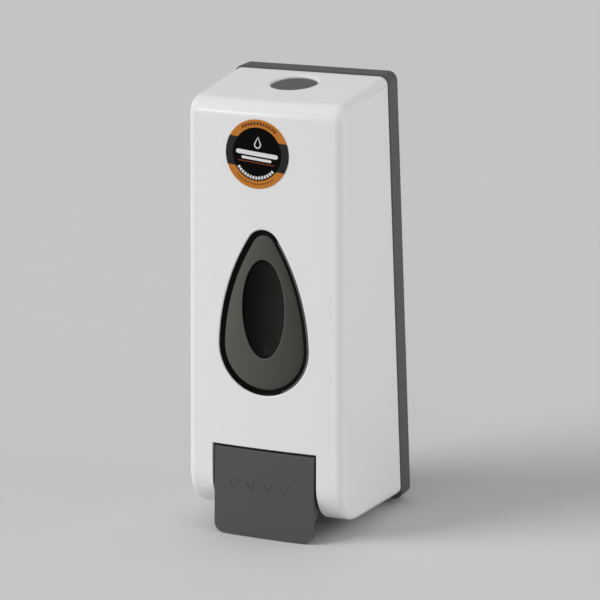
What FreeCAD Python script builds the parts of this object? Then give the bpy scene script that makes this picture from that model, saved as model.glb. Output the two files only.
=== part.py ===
import FreeCAD, Part
import Sketcher
import math
import os

# Wall-mounted soap dispenser, in millimetres.
# Frame: the wall is the plane Y = 0, the dispenser stands out towards -Y, +Z is up.
# The origin is the centre of the four wall-screw holes.

SIZES = {
    # back plate: a shallow tray screwed to the wall
    "plate_height": 208.0,
    "plate_top_width": 79.4,
    "plate_bottom_width": 85.7,
    "plate_depth": 10.1,
    "plate_corner": 4.4,
    "plate_edge": 0.8,
    "plate_floor": 3.0,
    "plate_rim": 2.6,
    "wall_hole_radius": 2.25,
    "wall_hole_spacing_x": 50.0,
    "wall_hole_spacing_z": 140.0,
    # front cover: a tapered shell with a crowned front
    "parting_gap": 0.3,
    "cover_wall": 2.2,
    "cover_side_step": 0.5,
    "cover_top_step": 0.8,
    "cover_bottom_step": 2.7,
    "cover_depth_top": 61.8,
    "cover_depth_bottom": 75.1,
    "cover_front_inset_top": 0.6,
    "cover_front_inset_bottom": 2.2,
    "cover_crown": 1.7,
    "cover_top_drop": 4.6,
    "cover_bottom_rise": 4.4,
    "top_front_round": 8.0,
    "bottom_front_round": 19.0,
    "side_round": 4.0,
    # cover hinge
    "hinge_inset": 3.0,
    "hinge_pin_radius": 1.5,
    "hinge_lug_x": 33.0,
    "hinge_lug_width": 3.5,
    "hinge_lug_radius": 2.6,
    "hinge_side_gap": 0.8,
    "hinge_pin_depth": 2.6,
    "hinge_boss_length": 6.0,
    "running_fit": 0.05,
    # teardrop sight window
    "window_bottom_z": -14.5,
    "window_top_z": 32.4,
    "window_bottom_radius": 22.9,
    "window_top_radius": 8.4,
    "window_side_radius": 100.0,
    "window_depth": 2.8,
    "window_floor": 1.8,
    "window_margin": 2.2,
    "window_bevel": 2.2,
    "window_gap": 0.1,
    "window_edge": 0.6,
    "sight_hole_z": 3.5,
    "sight_hole_width": 22.0,
    "sight_hole_height": 47.2,
    "sight_hole_edge": 0.9,
    # round label
    "label_x": -2.7,
    "label_z": 75.5,
    "label_radius": 15.9,
    "label_thickness": 0.25,
    # lever opening and push lever
    "opening_half_width": 26.8,
    "opening_height": 38.3,
    "opening_lip": 1.4,
    "opening_lip_edge": 0.65,
    "opening_lip_reach": 2.6,
    "opening_lip_rise": 4.0,
    "opening_edge": 0.4,
    "lever_side_gap": 1.3,
    "lever_top_gap": 1.2,
    "lever_drop": 4.2,
    "lever_set_back": 0.4,
    "lever_bottom_proud": 1.0,
    "lever_wall": 2.4,
    "lever_cheek": 2.2,
    "lever_corner": 4.5,
    "lever_top_round": 0.9,
    "lever_pivot_depth": 10.0,
    "lever_pivot_drop": 3.3,
    "lever_cheek_reach": 7.0,
    "lever_cheek_rise": 9.0,
    "lever_cheek_hollow": 3.5,
    "lever_cheek_round_drop": 4.5,
    "lever_cheek_shelf": 4.0,
    "lever_pin_radius": 1.5,
    "fork_x": 6.0,
    "fork_width": 2.5,
    "fork_drop": 10.0,
    "fork_root_drop": 8.0,
    "fork_flat": 1.5,
    "fork_tip_radius": 2.0,
    "mark_count": 4,
    "mark_pitch": 8.7,
    "mark_width": 6.2,
    "mark_height": 5.6,
    "mark_stroke": 1.3,
    "mark_depth": 0.2,
    "mark_drop": 17.6,
    "mark_x": -1.7,
    # release button, its cage and its spring
    "button_y": -27.8,
    "button_radius": 10.7,
    "button_gap": 0.4,
    "button_rim": 1.0,
    "button_edge": 0.5,
    "button_recess": 1.0,
    "button_shoulder": 1.2,
    "button_flange_gap": 0.5,
    "button_flange_drop": 5.85,
    "button_flange_thickness": 1.6,
    "button_flange_width": 1.7,
    "button_travel": 2.6,
    "button_wall": 1.7,
    "button_stem_radius": 2.4,
    "cage_rim_drop": 3.3,
    "cage_plate": 2.0,
    "cage_depth": 4.0,
    "cage_radius": 10.0,
    "cage_wall": 1.8,
    "cage_floor": 1.5,
    "cage_stem_gap": 0.4,
    "boss_wall": 2.1,
    # latch finger
    "latch_clearance": 3.0,
    "latch_thickness": 2.0,
    "latch_half_width": 6.0,
    "latch_reach": 33.0,
    "latch_hook": 0.9,
    "latch_hook_width": 1.5,
    "latch_foot_below": 4.0,
    "latch_foot_above": 8.0,
    "latch_screw_x": 8.0,
    "latch_screw_rise": 4.0,
    # pump shelf
    "bracket_thickness": 3.0,
    "shelf_rise": 28.5,
    "shelf_thickness": 4.0,
    "shelf_half_width": 34.0,
    "shelf_margin": 0.5,
    "shelf_flange_height": 21.0,
    "ear_x": 20.0,
    "ear_width": 2.6,
    "ear_radius": 3.5,
    "screw_radius": 1.5,
    "screw_head_radius": 2.7,
    "screw_head_height": 1.8,
    "screw_bite": 2.2,
    "shelf_screw_x": 27.0,
    "shelf_screw_edge": 4.5,
    "shelf_screw_rise": 8.0,
    # reservoir and its lid
    "tank_half_width": 34.5,
    "tank_back": 5.5,
    "tank_depth": 52.0,
    "tank_headroom": 4.0,
    "tank_wall": 1.8,
    "tank_corner": 5.0,
    "seal_thickness": 1.0,
    "lid_thickness": 2.5,
    "lid_lip_depth": 5.0,
    "lid_lip_wall": 1.6,
    "lid_gap": 0.2,
    # pump, standing on the axis of the tank's neck
    "pump_y": -38.0,
    "neck_radius": 10.0,
    "neck_bore": 8.7,
    "neck_length": 12.0,
    "neck_gap": 0.4,
    "nut_radius": 14.0,
    "nut_lip": 1.5,
    "nut_hole": 4.6,
    "gasket_thickness": 1.0,
    "cylinder_flange": 2.5,
    "cylinder_radius": 8.3,
    "cylinder_bore": 6.0,
    "cylinder_height": 41.5,
    "cylinder_head": 11.0,
    "ball_cage_floor": 1.5,
    "ball_chamber_radius": 2.6,
    "ball_chamber_height": 5.0,
    "ball_radius": 2.2,
    "ball_hole": 1.4,
    "seat_radius": 4.0,
    "seat_height": 3.5,
    "piston_rest": 0.5,
    "piston_height": 6.0,
    "piston_gap": 0.3,
    "piston_groove_z": 2.0,
    "piston_groove_height": 2.0,
    "piston_groove_depth": 1.1,
    "stem_radius": 2.6,
    "stem_bore": 1.1,
    "stem_length": 39.0,
    "stem_socket": 5.0,
    "stem_flange_radius": 8.6,
    "stem_flange_thickness": 2.15,
    "fork_clearance": 0.35,
    "nozzle_radius": 4.4,
    "nozzle_rise": 2.0,
    "nozzle_bore": 1.5,
    "nozzle_socket": 6.0,
    "valve_radius": 3.0,
    "valve_thickness": 2.0,
    "valve_recess": 0.8,
    "valve_slit": 0.5,
    # springs
    "pump_spring_radius": 4.4,
    "pump_spring_wire": 0.45,
    "pump_spring_pitch": 3.4,
    "button_spring_radius": 5.4,
    "button_spring_wire": 0.35,
    "button_spring_pitch": 2.2,
    "spring_end_gap": 0.1,
}

FAR = 2.0 * SIZES["plate_height"]

doc = FreeCAD.newDocument("soap_dispenser")
sheet = doc.addObject("Spreadsheet::Sheet", "Sizes")
for row, (size_name, size_value) in enumerate(SIZES.items(), start=1):
    sheet.set(f"A{row}", size_name)
    sheet.set(f"B{row}", str(size_value))
    sheet.setAlias(f"B{row}", size_name)
doc.recompute()


class Dim:
    """A length that carries its sheet expression along with its present value."""

    def __init__(self, text, value):
        self.text = text
        self.value = value

    def __add__(self, other):
        other = dim(other)
        return Dim(f"({self.text} + {other.text})", self.value + other.value)

    def __sub__(self, other):
        other = dim(other)
        return Dim(f"({self.text} - {other.text})", self.value - other.value)

    def __mul__(self, other):
        other = dim(other)
        return Dim(f"({self.text} * {other.text})", self.value * other.value)

    def __truediv__(self, other):
        other = dim(other)
        return Dim(f"({self.text} / {other.text})", self.value / other.value)

    def __radd__(self, other):
        return dim(other) + self

    def __rsub__(self, other):
        return dim(other) - self

    def __rmul__(self, other):
        return dim(other) * self

    def __neg__(self):
        return Dim(f"(0 - {self.text})", -self.value)

    def root(self):
        return Dim(f"sqrt({self.text})", math.sqrt(self.value))

    def __float__(self):
        return self.value


def dim(value):
    """Wrap a bare number as a Dim."""
    return value if isinstance(value, Dim) else Dim(repr(float(value)), float(value))


class Sizes:
    """The sheet's cells as Dim attributes."""

    def __init__(self, names):
        for name in names:
            setattr(self, name, Dim(f"Sizes.{name}", float(sheet.get(name))))


s = Sizes(SIZES)
NODES = []


# ---------------------------------------------------------------- building blocks

def node(feature):
    """Mark a finished piece for export."""
    NODES.append(feature)
    return feature


def bind(feature, path, value):
    """Bind a property of a feature to a Dim."""
    feature.setExpression(path, dim(value).text)


def place(feature, x=0.0, y=0.0, z=0.0):
    """Bind a feature's position."""
    for axis, value in zip("xyz", (x, y, z)):
        bind(feature, f"Placement.Base.{axis}", value)


def box(label, x_range, y_range, z_range):
    """A box between two Dims on each axis."""
    block = doc.addObject("Part::Box", label)
    for path, (low, high) in zip(("Length", "Width", "Height"), (x_range, y_range, z_range)):
        bind(block, path, dim(high) - low)
    place(block, x_range[0], y_range[0], z_range[0])
    return block


TURNS = {
    "X": FreeCAD.Rotation(FreeCAD.Vector(0, 1, 0), 90),
    "Y": FreeCAD.Rotation(FreeCAD.Vector(1, 0, 0), -90),
    "Z": FreeCAD.Rotation(),
}


def rod(label, axis, radius, start, length):
    """A cylinder along an axis, from the point start."""
    cylinder = doc.addObject("Part::Cylinder", label)
    cylinder.Placement = FreeCAD.Placement(FreeCAD.Vector(), TURNS[axis])
    bind(cylinder, "Radius", radius)
    bind(cylinder, "Height", length)
    place(cylinder, *start)
    return cylinder


def fuse(label, shapes):
    """Join shapes into one solid."""
    joined = doc.addObject("Part::MultiFuse", label)
    joined.Shapes = shapes
    joined.Refine = True
    return joined


def cut(label, base, tools):
    """Take tools away from a base."""
    result = doc.addObject("Part::Cut", label)
    result.Base = base
    result.Tool = tools[0] if len(tools) == 1 else fuse(f"{label}_tools", tools)
    result.Refine = True
    return result


def common(label, base, tool):
    """Keep what two shapes share."""
    result = doc.addObject("Part::Common", label)
    result.Base = base
    result.Tool = tool
    result.Refine = True
    return result


def new_body(label):
    """An empty PartDesign body."""
    return doc.addObject("PartDesign::Body", label)


def outline(body, label, plane, points, offset=0.0, crowns=None):
    """A closed sketch through points, anticlockwise; crowns bulge chosen sides outwards."""
    crowns = crowns or {}
    sketch = body.newObject("Sketcher::SketchObject", label)
    support = next(item for item in body.Origin.OriginFeatures if item.Role == plane)
    sketch.AttachmentSupport = [(support, "")]
    sketch.MapMode = "FlatFace"
    bind(sketch, "AttachmentOffset.Base.z", offset)
    points = [(dim(a), dim(b)) for a, b in points]
    count = len(points)
    ends = []
    for index in range(count):
        first, second = points[index], points[(index + 1) % count]
        start = FreeCAD.Vector(float(first[0]), float(first[1]), 0)
        finish = FreeCAD.Vector(float(second[0]), float(second[1]), 0)
        if index in crowns:
            middle, turned_round = crown_point(start, finish, float(crowns[index]))
            sketch.addGeometry(Part.Arc(start, middle, finish), False)
            ends.append((2, 1) if turned_round else (1, 2))
        else:
            sketch.addGeometry(Part.LineSegment(start, finish), False)
            ends.append((1, 2))
    for index in range(count):
        after = (index + 1) % count
        sketch.addConstraint(
            Sketcher.Constraint("Coincident", index, ends[index][1], after, ends[after][0]))
        for kind, value in zip(("DistanceX", "DistanceY"), points[index]):
            number = sketch.addConstraint(
                Sketcher.Constraint(kind, -1, 1, index, ends[index][0], float(value)))
            bind(sketch, f"Constraints[{number}]", value)
    for index, crown in crowns.items():
        radius = crown_radius(points[index], points[(index + 1) % count], dim(crown))
        number = sketch.addConstraint(Sketcher.Constraint("Radius", index, float(radius)))
        bind(sketch, f"Constraints[{number}]", radius)
    return sketch


def crown_point(start, finish, crown):
    """The middle of an arc that bulges to the right of start-finish, and whether it is hollow."""
    along = finish.sub(start)
    right = FreeCAD.Vector(along.y, -along.x, 0).normalize()
    return (start + finish) * 0.5 + right * crown, crown < 0


def crown_radius(first, second, crown):
    """The radius of an arc with this chord and crown."""
    half = ((second[0] - first[0]) * (second[0] - first[0])
            + (second[1] - first[1]) * (second[1] - first[1])) / 4.0
    size = crown if float(crown) > 0 else -crown
    return (half + crown * crown) / (2.0 * size)


def pad(label, plane, points, low, high, crowns=None):
    """A body padded from low to high along its plane's normal."""
    body = new_body(label)
    sketch = outline(body, f"{label}_outline", plane, points, low, crowns)
    feature = body.newObject("PartDesign::Pad", f"{label}_pad")
    feature.Profile = sketch
    bind(feature, "Length", dim(high) - low)
    body.Tip = feature
    return body


def turned(label, points, x=0.0, y=0.0):
    """A body turned about a vertical axis; points are (radius, height)."""
    body = new_body(label)
    sketch = outline(body, f"{label}_outline", "XZ_Plane", points)
    feature = body.newObject("PartDesign::Revolution", f"{label}_turn")
    feature.Profile = sketch
    feature.ReferenceAxis = (sketch, ["V_Axis"])
    feature.Angle = 360.0
    body.Tip = feature
    place(body, x, y)
    return body


def ring(label, inner, outer, low, high, y):
    """A turned ring of rectangular section."""
    return turned(label, [(inner, low), (outer, low), (outer, high), (inner, high)], y=y)


def round_edges(body, label, radius, wanted):
    """Fillet the edges of a body's tip that the test picks."""
    doc.recompute()
    tip = body.Tip
    names = [f"Edge{number}" for number, edge in enumerate(tip.Shape.Edges, start=1)
             if wanted(edge)]
    if not names:
        raise RuntimeError(f"{label}: no edge to round")
    feature = body.newObject("PartDesign::Fillet", label)
    feature.Base = (tip, names)
    bind(feature, "Radius", radius)
    body.Tip = feature
    doc.recompute()
    return feature


def soften(label, base, radius, wanted):
    """Round the edges of a finished feature that the test picks."""
    doc.recompute()
    picked = [(number, float(radius), float(radius))
              for number, edge in enumerate(base.Shape.Edges, start=1) if wanted(edge)]
    if not picked:
        raise RuntimeError(f"{label}: no edge to soften")
    feature = doc.addObject("Part::Fillet", label)
    feature.Base = base
    feature.Edges = picked
    return feature


def extent(edge):
    """An edge's lengths along X, Y and Z."""
    bounds = edge.BoundBox
    return bounds.XLength, bounds.YLength, bounds.ZLength


def is_along(axis):
    """A test for straight edges that run along one axis."""
    others = [index for index in range(3) if index != axis]

    def test(edge):
        lengths = extent(edge)
        return all(lengths[index] < 0.01 for index in others) and lengths[axis] > 0.5

    return test


def rounded_block(label, x_range, y_range, z_range, radius):
    """A box whose upright edges are rounded."""
    points = [(x_range[0], y_range[0]), (x_range[1], y_range[0]),
              (x_range[1], y_range[1]), (x_range[0], y_range[1])]
    body = pad(label, "XY_Plane", points, z_range[0], z_range[1])
    round_edges(body, f"{label}_round", radius, is_along(2))
    return body


def coil(label, radius, wire, pitch, low, high, y):
    """A compression spring between two heights."""
    length = float(high) - float(low) - 2.0 * float(wire)
    helix = Part.makeLongHelix(float(pitch), length, float(radius))
    start = FreeCAD.Vector(float(radius), 0, 0)
    section = Part.Wire(Part.makeCircle(float(wire), start, FreeCAD.Vector(0, 1, 0)))
    feature = doc.addObject("Part::Feature", label)
    feature.Shape = Part.Wire(helix).makePipeShell([section], True, True)
    feature.Placement.Base = FreeCAD.Vector(0, float(y), float(low) + float(wire))
    return feature


# ---------------------------------------------------------------- shared places

half_height = s.plate_height / 2.0
plate_front = -s.plate_depth
cover_rear = plate_front - s.parting_gap
cover_top = half_height - s.cover_top_step
cover_bottom = s.cover_bottom_step - half_height
top_slope = s.cover_top_drop / (s.cover_depth_top + cover_rear)
bottom_slope = s.cover_bottom_rise / (s.cover_depth_bottom + cover_rear)
front_slope = (s.cover_depth_bottom - s.cover_depth_top) / s.plate_height


def front_y(z):
    """The Y of the cover's front at mid width and height z."""
    return front_slope * (dim(z) + half_height) - s.cover_depth_bottom


def top_z(y):
    """The height of the cover's top at depth y."""
    return cover_top + top_slope * (dim(y) - cover_rear)


def bottom_z(y):
    """The height of the cover's underside at depth y."""
    return cover_bottom + bottom_slope * (cover_rear - y)


hinge_y = cover_rear - s.hinge_inset
hinge_z = bottom_z(hinge_y) + s.hinge_inset * (1.0 + bottom_slope * bottom_slope).root()

opening_top = cover_bottom + s.opening_height
opening_front = front_y(opening_top)
lever_half = s.opening_half_width - s.lever_side_gap
lever_top = opening_top - s.lever_top_gap
lever_low = cover_bottom - s.lever_drop
lever_top_y = front_y(lever_top) + s.lever_set_back
lever_low_y = front_y(lever_low) - s.lever_bottom_proud
pivot_y = lever_top_y + s.lever_pivot_depth
pivot_z = lever_top - s.lever_pivot_drop

flange_z = top_z(s.button_y) - s.button_flange_drop
button_roof = flange_z + s.button_flange_thickness + s.button_shoulder
cage_rim = flange_z - s.cage_rim_drop
cage_low = cage_rim - s.cage_plate - s.cage_depth
cage_inside = cage_low + s.cage_floor
boss_inner = s.button_radius + s.button_flange_width + s.button_flange_gap
latch_top = cage_low - s.latch_clearance

shelf_top = pivot_z + s.shelf_rise
shelf_bottom = shelf_top - s.shelf_thickness
tank_front = -(s.tank_back + s.tank_depth)
shelf_front = tank_front - s.shelf_margin
tank_top = latch_top - s.latch_thickness - s.tank_headroom - s.lid_thickness - s.seal_thickness


# ---------------------------------------------------------------- back plate

def plate_slab(label, inset, low, high, corner):
    """A slab of the plate's outline between two depths, shrunk by inset."""
    top = s.plate_top_width / 2.0 - inset
    bottom = s.plate_bottom_width / 2.0 - inset
    height = half_height - inset
    points = [(-bottom, -height), (bottom, -height), (top, height), (-top, height)]
    body = pad(label, "XZ_Plane", points, low, high)
    round_edges(body, f"{label}_round", corner, is_along(1))
    return body


def wall_holes():
    """The four holes for the wall screws."""
    holes = []
    for side in (-1, 1):
        for level in (-1, 1):
            start = (s.wall_hole_spacing_x * (side / 2.0), -s.plate_depth,
                     s.wall_hole_spacing_z * (level / 2.0))
            holes.append(rod("wall_hole", "Y", s.wall_hole_radius, start, s.plate_depth * 2.0))
    return holes


def bracket_screw_places():
    """Where the bracket screws stand on the plate's floor, as (x, z)."""
    low_row = shelf_top - s.shelf_flange_height + s.shelf_screw_edge
    places = [(side * s.shelf_screw_x, row) for side in (-1, 1)
              for row in (low_row, low_row + s.shelf_screw_rise)]
    places += [(side * s.latch_screw_x, latch_top + s.latch_screw_rise) for side in (-1, 1)]
    return places


def back_plate():
    """The tray with its hinge lugs and holes."""
    slab = plate_slab("plate_slab", dim(0), dim(0), s.plate_depth, s.plate_corner)
    hollow = plate_slab("plate_hollow", s.plate_rim, s.plate_floor, s.plate_depth + 1.0,
                        s.plate_corner - s.plate_rim)
    tray = cut("plate_tray", slab, [hollow])
    lugs, bores = [], []
    for side in (-1, 1):
        inner = side * s.hinge_lug_x
        outer = side * (s.hinge_lug_x + s.hinge_lug_width)
        x_range = (inner, outer) if side > 0 else (outer, inner)
        lugs.append(box("lug_block", x_range, (hinge_y, -s.plate_floor + 0.5),
                        (hinge_z - s.hinge_lug_radius, hinge_z + s.hinge_lug_radius)))
        lugs.append(rod("lug_round", "X", s.hinge_lug_radius, (x_range[0], hinge_y, hinge_z),
                        s.hinge_lug_width))
        bores.append(rod("lug_bore", "X", s.hinge_pin_radius, (x_range[0] - 1.0, hinge_y, hinge_z),
                         s.hinge_lug_width + 2.0))
    for x, z in bracket_screw_places():
        bores.append(rod("screw_bore", "Y", s.screw_radius,
                         (x, -s.plate_floor - 1.0, z), s.screw_bite + 1.0))
    drilled = cut("plate_drilled", fuse("plate_with_lugs", [tray] + lugs), wall_holes() + bores)
    return node(soften("back_plate", drilled, s.plate_edge, is_plate_rim))


def is_plate_rim(edge):
    """Whether an edge is on the outer outline of the plate's front."""
    bounds = edge.BoundBox
    if bounds.YLength > 0.01 or abs(bounds.YMax - float(plate_front)) > 0.01:
        return False
    centre = edge.CenterOfMass
    share = (centre.z + float(half_height)) / float(s.plate_height)
    half_width = float(s.plate_bottom_width + (s.plate_top_width - s.plate_bottom_width) * share) / 2
    to_side = half_width - abs(centre.x)
    to_end = float(half_height) - abs(centre.z)
    return min(to_side, to_end) < 0.4 * float(s.plate_corner) - 0.2 and (
        abs(to_side) < 0.1 or abs(to_end) < 0.1 or max(to_side, to_end) < float(s.plate_corner) / 2)


def bracket_screws():
    """Six identical screws that hold the brackets to the plate."""
    seat = -(s.plate_floor + s.bracket_thickness)
    screws = []
    for number, (x, z) in enumerate(bracket_screw_places(), start=1):
        head = rod(f"screw_head_{number}", "Y", s.screw_head_radius,
                   (x, seat - s.screw_head_height, z), s.screw_head_height)
        shank = rod(f"screw_shank_{number}", "Y", s.screw_radius, (x, seat, z),
                    s.bracket_thickness + s.screw_bite)
        screws.append(fuse(f"screw_{number}", [head, shank]))
    group = doc.addObject("Part::Compound", "bracket_screws")
    group.Links = screws
    return node(group)


# ---------------------------------------------------------------- front cover

def cover_block(label, inset, back):
    """The solid form of the cover, shrunk by inset, reaching back to the plane y = back."""
    body = new_body(label)
    sections = []
    for level, height, width, front_inset, depth in (
            ("low", -half_height, s.plate_bottom_width, s.cover_front_inset_bottom,
             s.cover_depth_bottom),
            ("high", half_height, s.plate_top_width, s.cover_front_inset_top,
             s.cover_depth_top)):
        rear_x = width / 2.0 - s.cover_side_step - inset
        front_x = rear_x - front_inset
        corner_y = s.cover_crown + inset - depth
        points = [(-front_x, corner_y), (front_x, corner_y), (rear_x, back), (-rear_x, back)]
        sections.append(outline(body, f"{label}_{level}", "XY_Plane", points, height,
                                {0: s.cover_crown}))
    loft = body.newObject("PartDesign::AdditiveLoft", f"{label}_loft")
    loft.Profile = sections[0]
    loft.Sections = [sections[1]]
    loft.Ruled = True
    body.Tip = loft
    trim(body, f"{label}_top", [(-FAR, top_z(-FAR) - inset), (5, top_z(5) - inset),
                                (5, FAR), (-FAR, FAR)])
    trim(body, f"{label}_bottom", [(-FAR, -FAR), (5, -FAR), (5, bottom_z(5) + inset),
                                   (-FAR, bottom_z(-FAR) + inset)])
    round_edges(body, f"{label}_top_round", s.top_front_round - inset,
                lambda edge: extent(edge)[0] > 40 and edge.CenterOfMass.y < -40
                and edge.CenterOfMass.z > 0)
    round_edges(body, f"{label}_low_round", s.bottom_front_round - inset,
                lambda edge: extent(edge)[0] > 40 and edge.CenterOfMass.y < -40
                and edge.CenterOfMass.z < 0)
    round_edges(body, f"{label}_side_round", s.side_round - inset,
                lambda edge: extent(edge)[2] > 100 and edge.CenterOfMass.y < -40)
    return body


def trim(body, label, points, crowns=None):
    """Cut everything inside a side-view outline off a body."""
    sketch = outline(body, f"{label}_outline", "YZ_Plane", points, crowns=crowns)
    feature = body.newObject("PartDesign::Pocket", f"{label}_trim")
    feature.Profile = sketch
    feature.SideType = "Symmetric"
    feature.Length = 2.0 * FAR
    body.Tip = feature
    return feature


def front_frame(z):
    """The placement of a plane that lies on the cover's front at height z, facing out."""
    slope = float(front_slope)
    across = FreeCAD.Vector(1, 0, 0)
    up = FreeCAD.Vector(0, slope, 1).normalize()
    return FreeCAD.Placement(FreeCAD.Vector(0, float(front_y(z)), float(z)),
                             FreeCAD.Rotation(across, up, across.cross(up), "XYZ"))


def teardrop(label, grow, low, high, bevel=0.0):
    """A teardrop block on the cover's front, between two depths below the surface."""
    low_z, high_z = float(s.window_bottom_z), float(s.window_top_z)
    gap = high_z - low_z
    side = float(s.window_side_radius)
    low_r, high_r = float(s.window_bottom_radius), float(s.window_top_radius)
    # each side arc is tangent to both end circles from inside
    rise = ((side - low_r) ** 2 - (side - high_r) ** 2 + gap ** 2) / (2.0 * gap)
    reach = math.sqrt((side - low_r) ** 2 - rise ** 2)
    centre = FreeCAD.Vector(-reach, rise, 0)
    low_tangent = FreeCAD.Vector(reach, -rise, 0).normalize()
    high_tangent = FreeCAD.Vector(reach, gap - rise, 0).normalize()
    middle = (low_tangent + high_tangent).normalize()
    right = [centre + FreeCAD.Vector(direction) * (side + grow)
             for direction in (low_tangent, middle, high_tangent)]
    left = [FreeCAD.Vector(-point.x, point.y, 0) for point in right]
    foot = FreeCAD.Vector(0, -low_r - grow, 0)
    peak = FreeCAD.Vector(0, gap + high_r + grow, 0)
    wire = Part.Wire([Part.Arc(left[0], foot, right[0]).toShape(),
                      Part.Arc(*right).toShape(),
                      Part.Arc(right[2], peak, left[2]).toShape(),
                      Part.Arc(*reversed(left)).toShape()])
    solid = Part.Face(wire).extrude(FreeCAD.Vector(0, 0, float(low) - float(high)))
    if bevel:
        rim = [edge for edge in solid.Edges if edge.BoundBox.ZMin > -0.01]
        solid = solid.makeChamfer(float(bevel), rim)
    frame = front_frame(s.window_bottom_z)
    feature = doc.addObject("Part::Feature", label)
    feature.Shape = solid
    feature.Placement = frame.multiply(
        FreeCAD.Placement(FreeCAD.Vector(0, 0, -float(low)), FreeCAD.Rotation()))
    return feature


def sight_hole():
    """The oval hole in the floor of the window's recess."""
    half_long = float(s.sight_hole_height) / 2.0
    ellipse = Part.Ellipse(FreeCAD.Vector(), half_long, float(s.sight_hole_width) / 2.0)
    face = Part.Face(Part.Wire(ellipse.toShape()))
    face.rotate(FreeCAD.Vector(), FreeCAD.Vector(0, 0, 1), 90)
    feature = doc.addObject("Part::Feature", "sight_hole")
    feature.Shape = face.extrude(FreeCAD.Vector(0, 0, -20))
    feature.Placement = front_frame(s.sight_hole_z)
    return feature


def opening_bevel():
    """The wedge that thins the top edge of the lever opening from behind."""
    lip_y = opening_front + s.opening_lip
    top = opening_top
    rise = top + s.opening_lip_rise
    points = [(lip_y - s.opening_lip_edge, top - 1.0), (lip_y + 10.0, top - 1.0),
              (lip_y + 10.0, rise), (lip_y + s.opening_lip_reach, rise)]
    return pad("opening_bevel", "YZ_Plane", points, -s.opening_half_width, s.opening_half_width)


def hinge_tools():
    """What the hinge takes from the cover, and the bosses it adds."""
    bosses, tools = [], []
    pin_end = s.hinge_lug_x + s.hinge_lug_width + s.hinge_side_gap + s.hinge_pin_depth
    for side in (-1, 1):
        boss_in = s.hinge_lug_x + s.hinge_lug_width + s.hinge_side_gap
        ends = sorted((side * boss_in, side * (boss_in + s.hinge_boss_length)), key=float)
        bosses.append(rod("hinge_boss", "X", s.hinge_inset - 0.1, (ends[0], hinge_y, hinge_z),
                          s.hinge_boss_length))
        low = side * (boss_in - 0.5)
        high = side * (pin_end + 0.3)
        ends = sorted((low, high), key=float)
        tools.append(rod("hinge_bore", "X", s.hinge_pin_radius + s.running_fit,
                         (ends[0], hinge_y, hinge_z), ends[1] - ends[0]))
        ends = sorted((side * (s.hinge_lug_x - 0.4), side * (boss_in - 0.2)), key=float)
        tools.append(box("lug_slot", ends, (hinge_y - s.hinge_inset - 0.6, cover_rear + 2.0),
                         (-FAR, hinge_z)))
    corner = box("corner_block", (-FAR, FAR), (hinge_y, cover_rear + 1.0), (-FAR, hinge_z))
    barrel = rod("corner_barrel", "X", s.hinge_inset, (-FAR, hinge_y, hinge_z), 2.0 * FAR)
    tools.append(cut("rear_corner", corner, [barrel]))
    return bosses, tools


def front_cover():
    """The cover shell with its window recess, button hole, lever opening and hinge."""
    outer = cover_block("cover_outer", dim(0), cover_rear)
    core = cover_block("cover_core", s.cover_wall, cover_rear + 3.0)
    shell = cut("cover_shell", outer, [core])
    floor_depth = s.window_depth + s.window_floor
    window_boss = teardrop("window_boss", float(s.window_margin), dim(-5), floor_depth)
    button_boss = ring("button_boss", boss_inner, boss_inner + s.boss_wall, cage_rim,
                       cover_top + 5.0, s.button_y)
    hinge_bosses, hinge_cuts = hinge_tools()
    inside = common("cover_bosses", outer,
                    fuse("all_bosses", [window_boss, button_boss] + hinge_bosses))
    recess = teardrop("window_recess", 0.0, dim(-5), s.window_depth)
    hole = rod("button_hole", "Z", s.button_radius + s.button_gap,
               (0, s.button_y, flange_z + s.button_flange_thickness), 20.0)
    opening = box("lever_opening", (-s.opening_half_width, s.opening_half_width),
                  (-FAR, cover_rear + 1.0), (-FAR, opening_top))
    tools = [recess, sight_hole(), hole, opening, opening_bevel()] + hinge_cuts
    sharp = cut("cover_sharp", fuse("cover_with_bosses", [shell, inside]), tools)
    sighted = soften("cover_sight_eased", sharp, s.sight_hole_edge, is_sight_rim)
    eased = soften("cover_window_eased", sighted, s.window_edge, is_window_rim)
    rimmed = soften("cover_button_eased", eased, s.button_rim, is_button_rim)
    return outer, node(soften("front_cover", rimmed, s.opening_edge, is_opening_top))


def is_window_rim(edge):
    """Whether an edge is where the window's recess meets the front."""
    centre, bounds = edge.CenterOfMass, edge.BoundBox
    low = float(s.window_bottom_z - s.window_bottom_radius) - 1.5
    high = float(s.window_top_z + s.window_top_radius) + 1.5
    return (low < centre.z < high and abs(centre.x) < float(s.window_bottom_radius) + 1.0
            and edge.Length > 2.0 and centre.y < float(front_y(centre.z)) + 1.0
            and bounds.YMax < float(front_y(bounds.ZMax)) + 1.2)


def is_sight_rim(edge):
    """Whether an edge is where the oval hole meets the recess's floor."""
    centre, bounds = edge.CenterOfMass, edge.BoundBox
    floor_y = float(front_y(s.sight_hole_z) + s.window_depth)
    return (abs(centre.x) < 0.5 * float(s.sight_hole_width) and bounds.XLength > 5.0
            and abs(bounds.Center.z - float(s.sight_hole_z)) < 0.5
            and abs(bounds.ZLength - float(s.sight_hole_height)) < 1.0
            and abs(bounds.Center.y - floor_y) < 0.4)


def is_button_rim(edge):
    """Whether an edge is where the button's hole meets the top."""
    bounds = edge.BoundBox
    reach = float(s.button_radius + s.button_gap) + 0.1
    return (abs(edge.CenterOfMass.y - float(s.button_y)) < 0.2 and bounds.XLength < 2.0 * reach
            and bounds.XLength > 1.9 * float(s.button_radius)
            and bounds.ZMin > float(top_z(bounds.YMin)) - 0.3)


def is_opening_top(edge):
    """Whether an edge is the outer top edge of the lever opening."""
    centre = edge.CenterOfMass
    return (abs(centre.z - float(opening_top)) < 0.05 and edge.BoundBox.XLength > 20.0
            and centre.y < float(opening_front) + 0.9)


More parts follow.
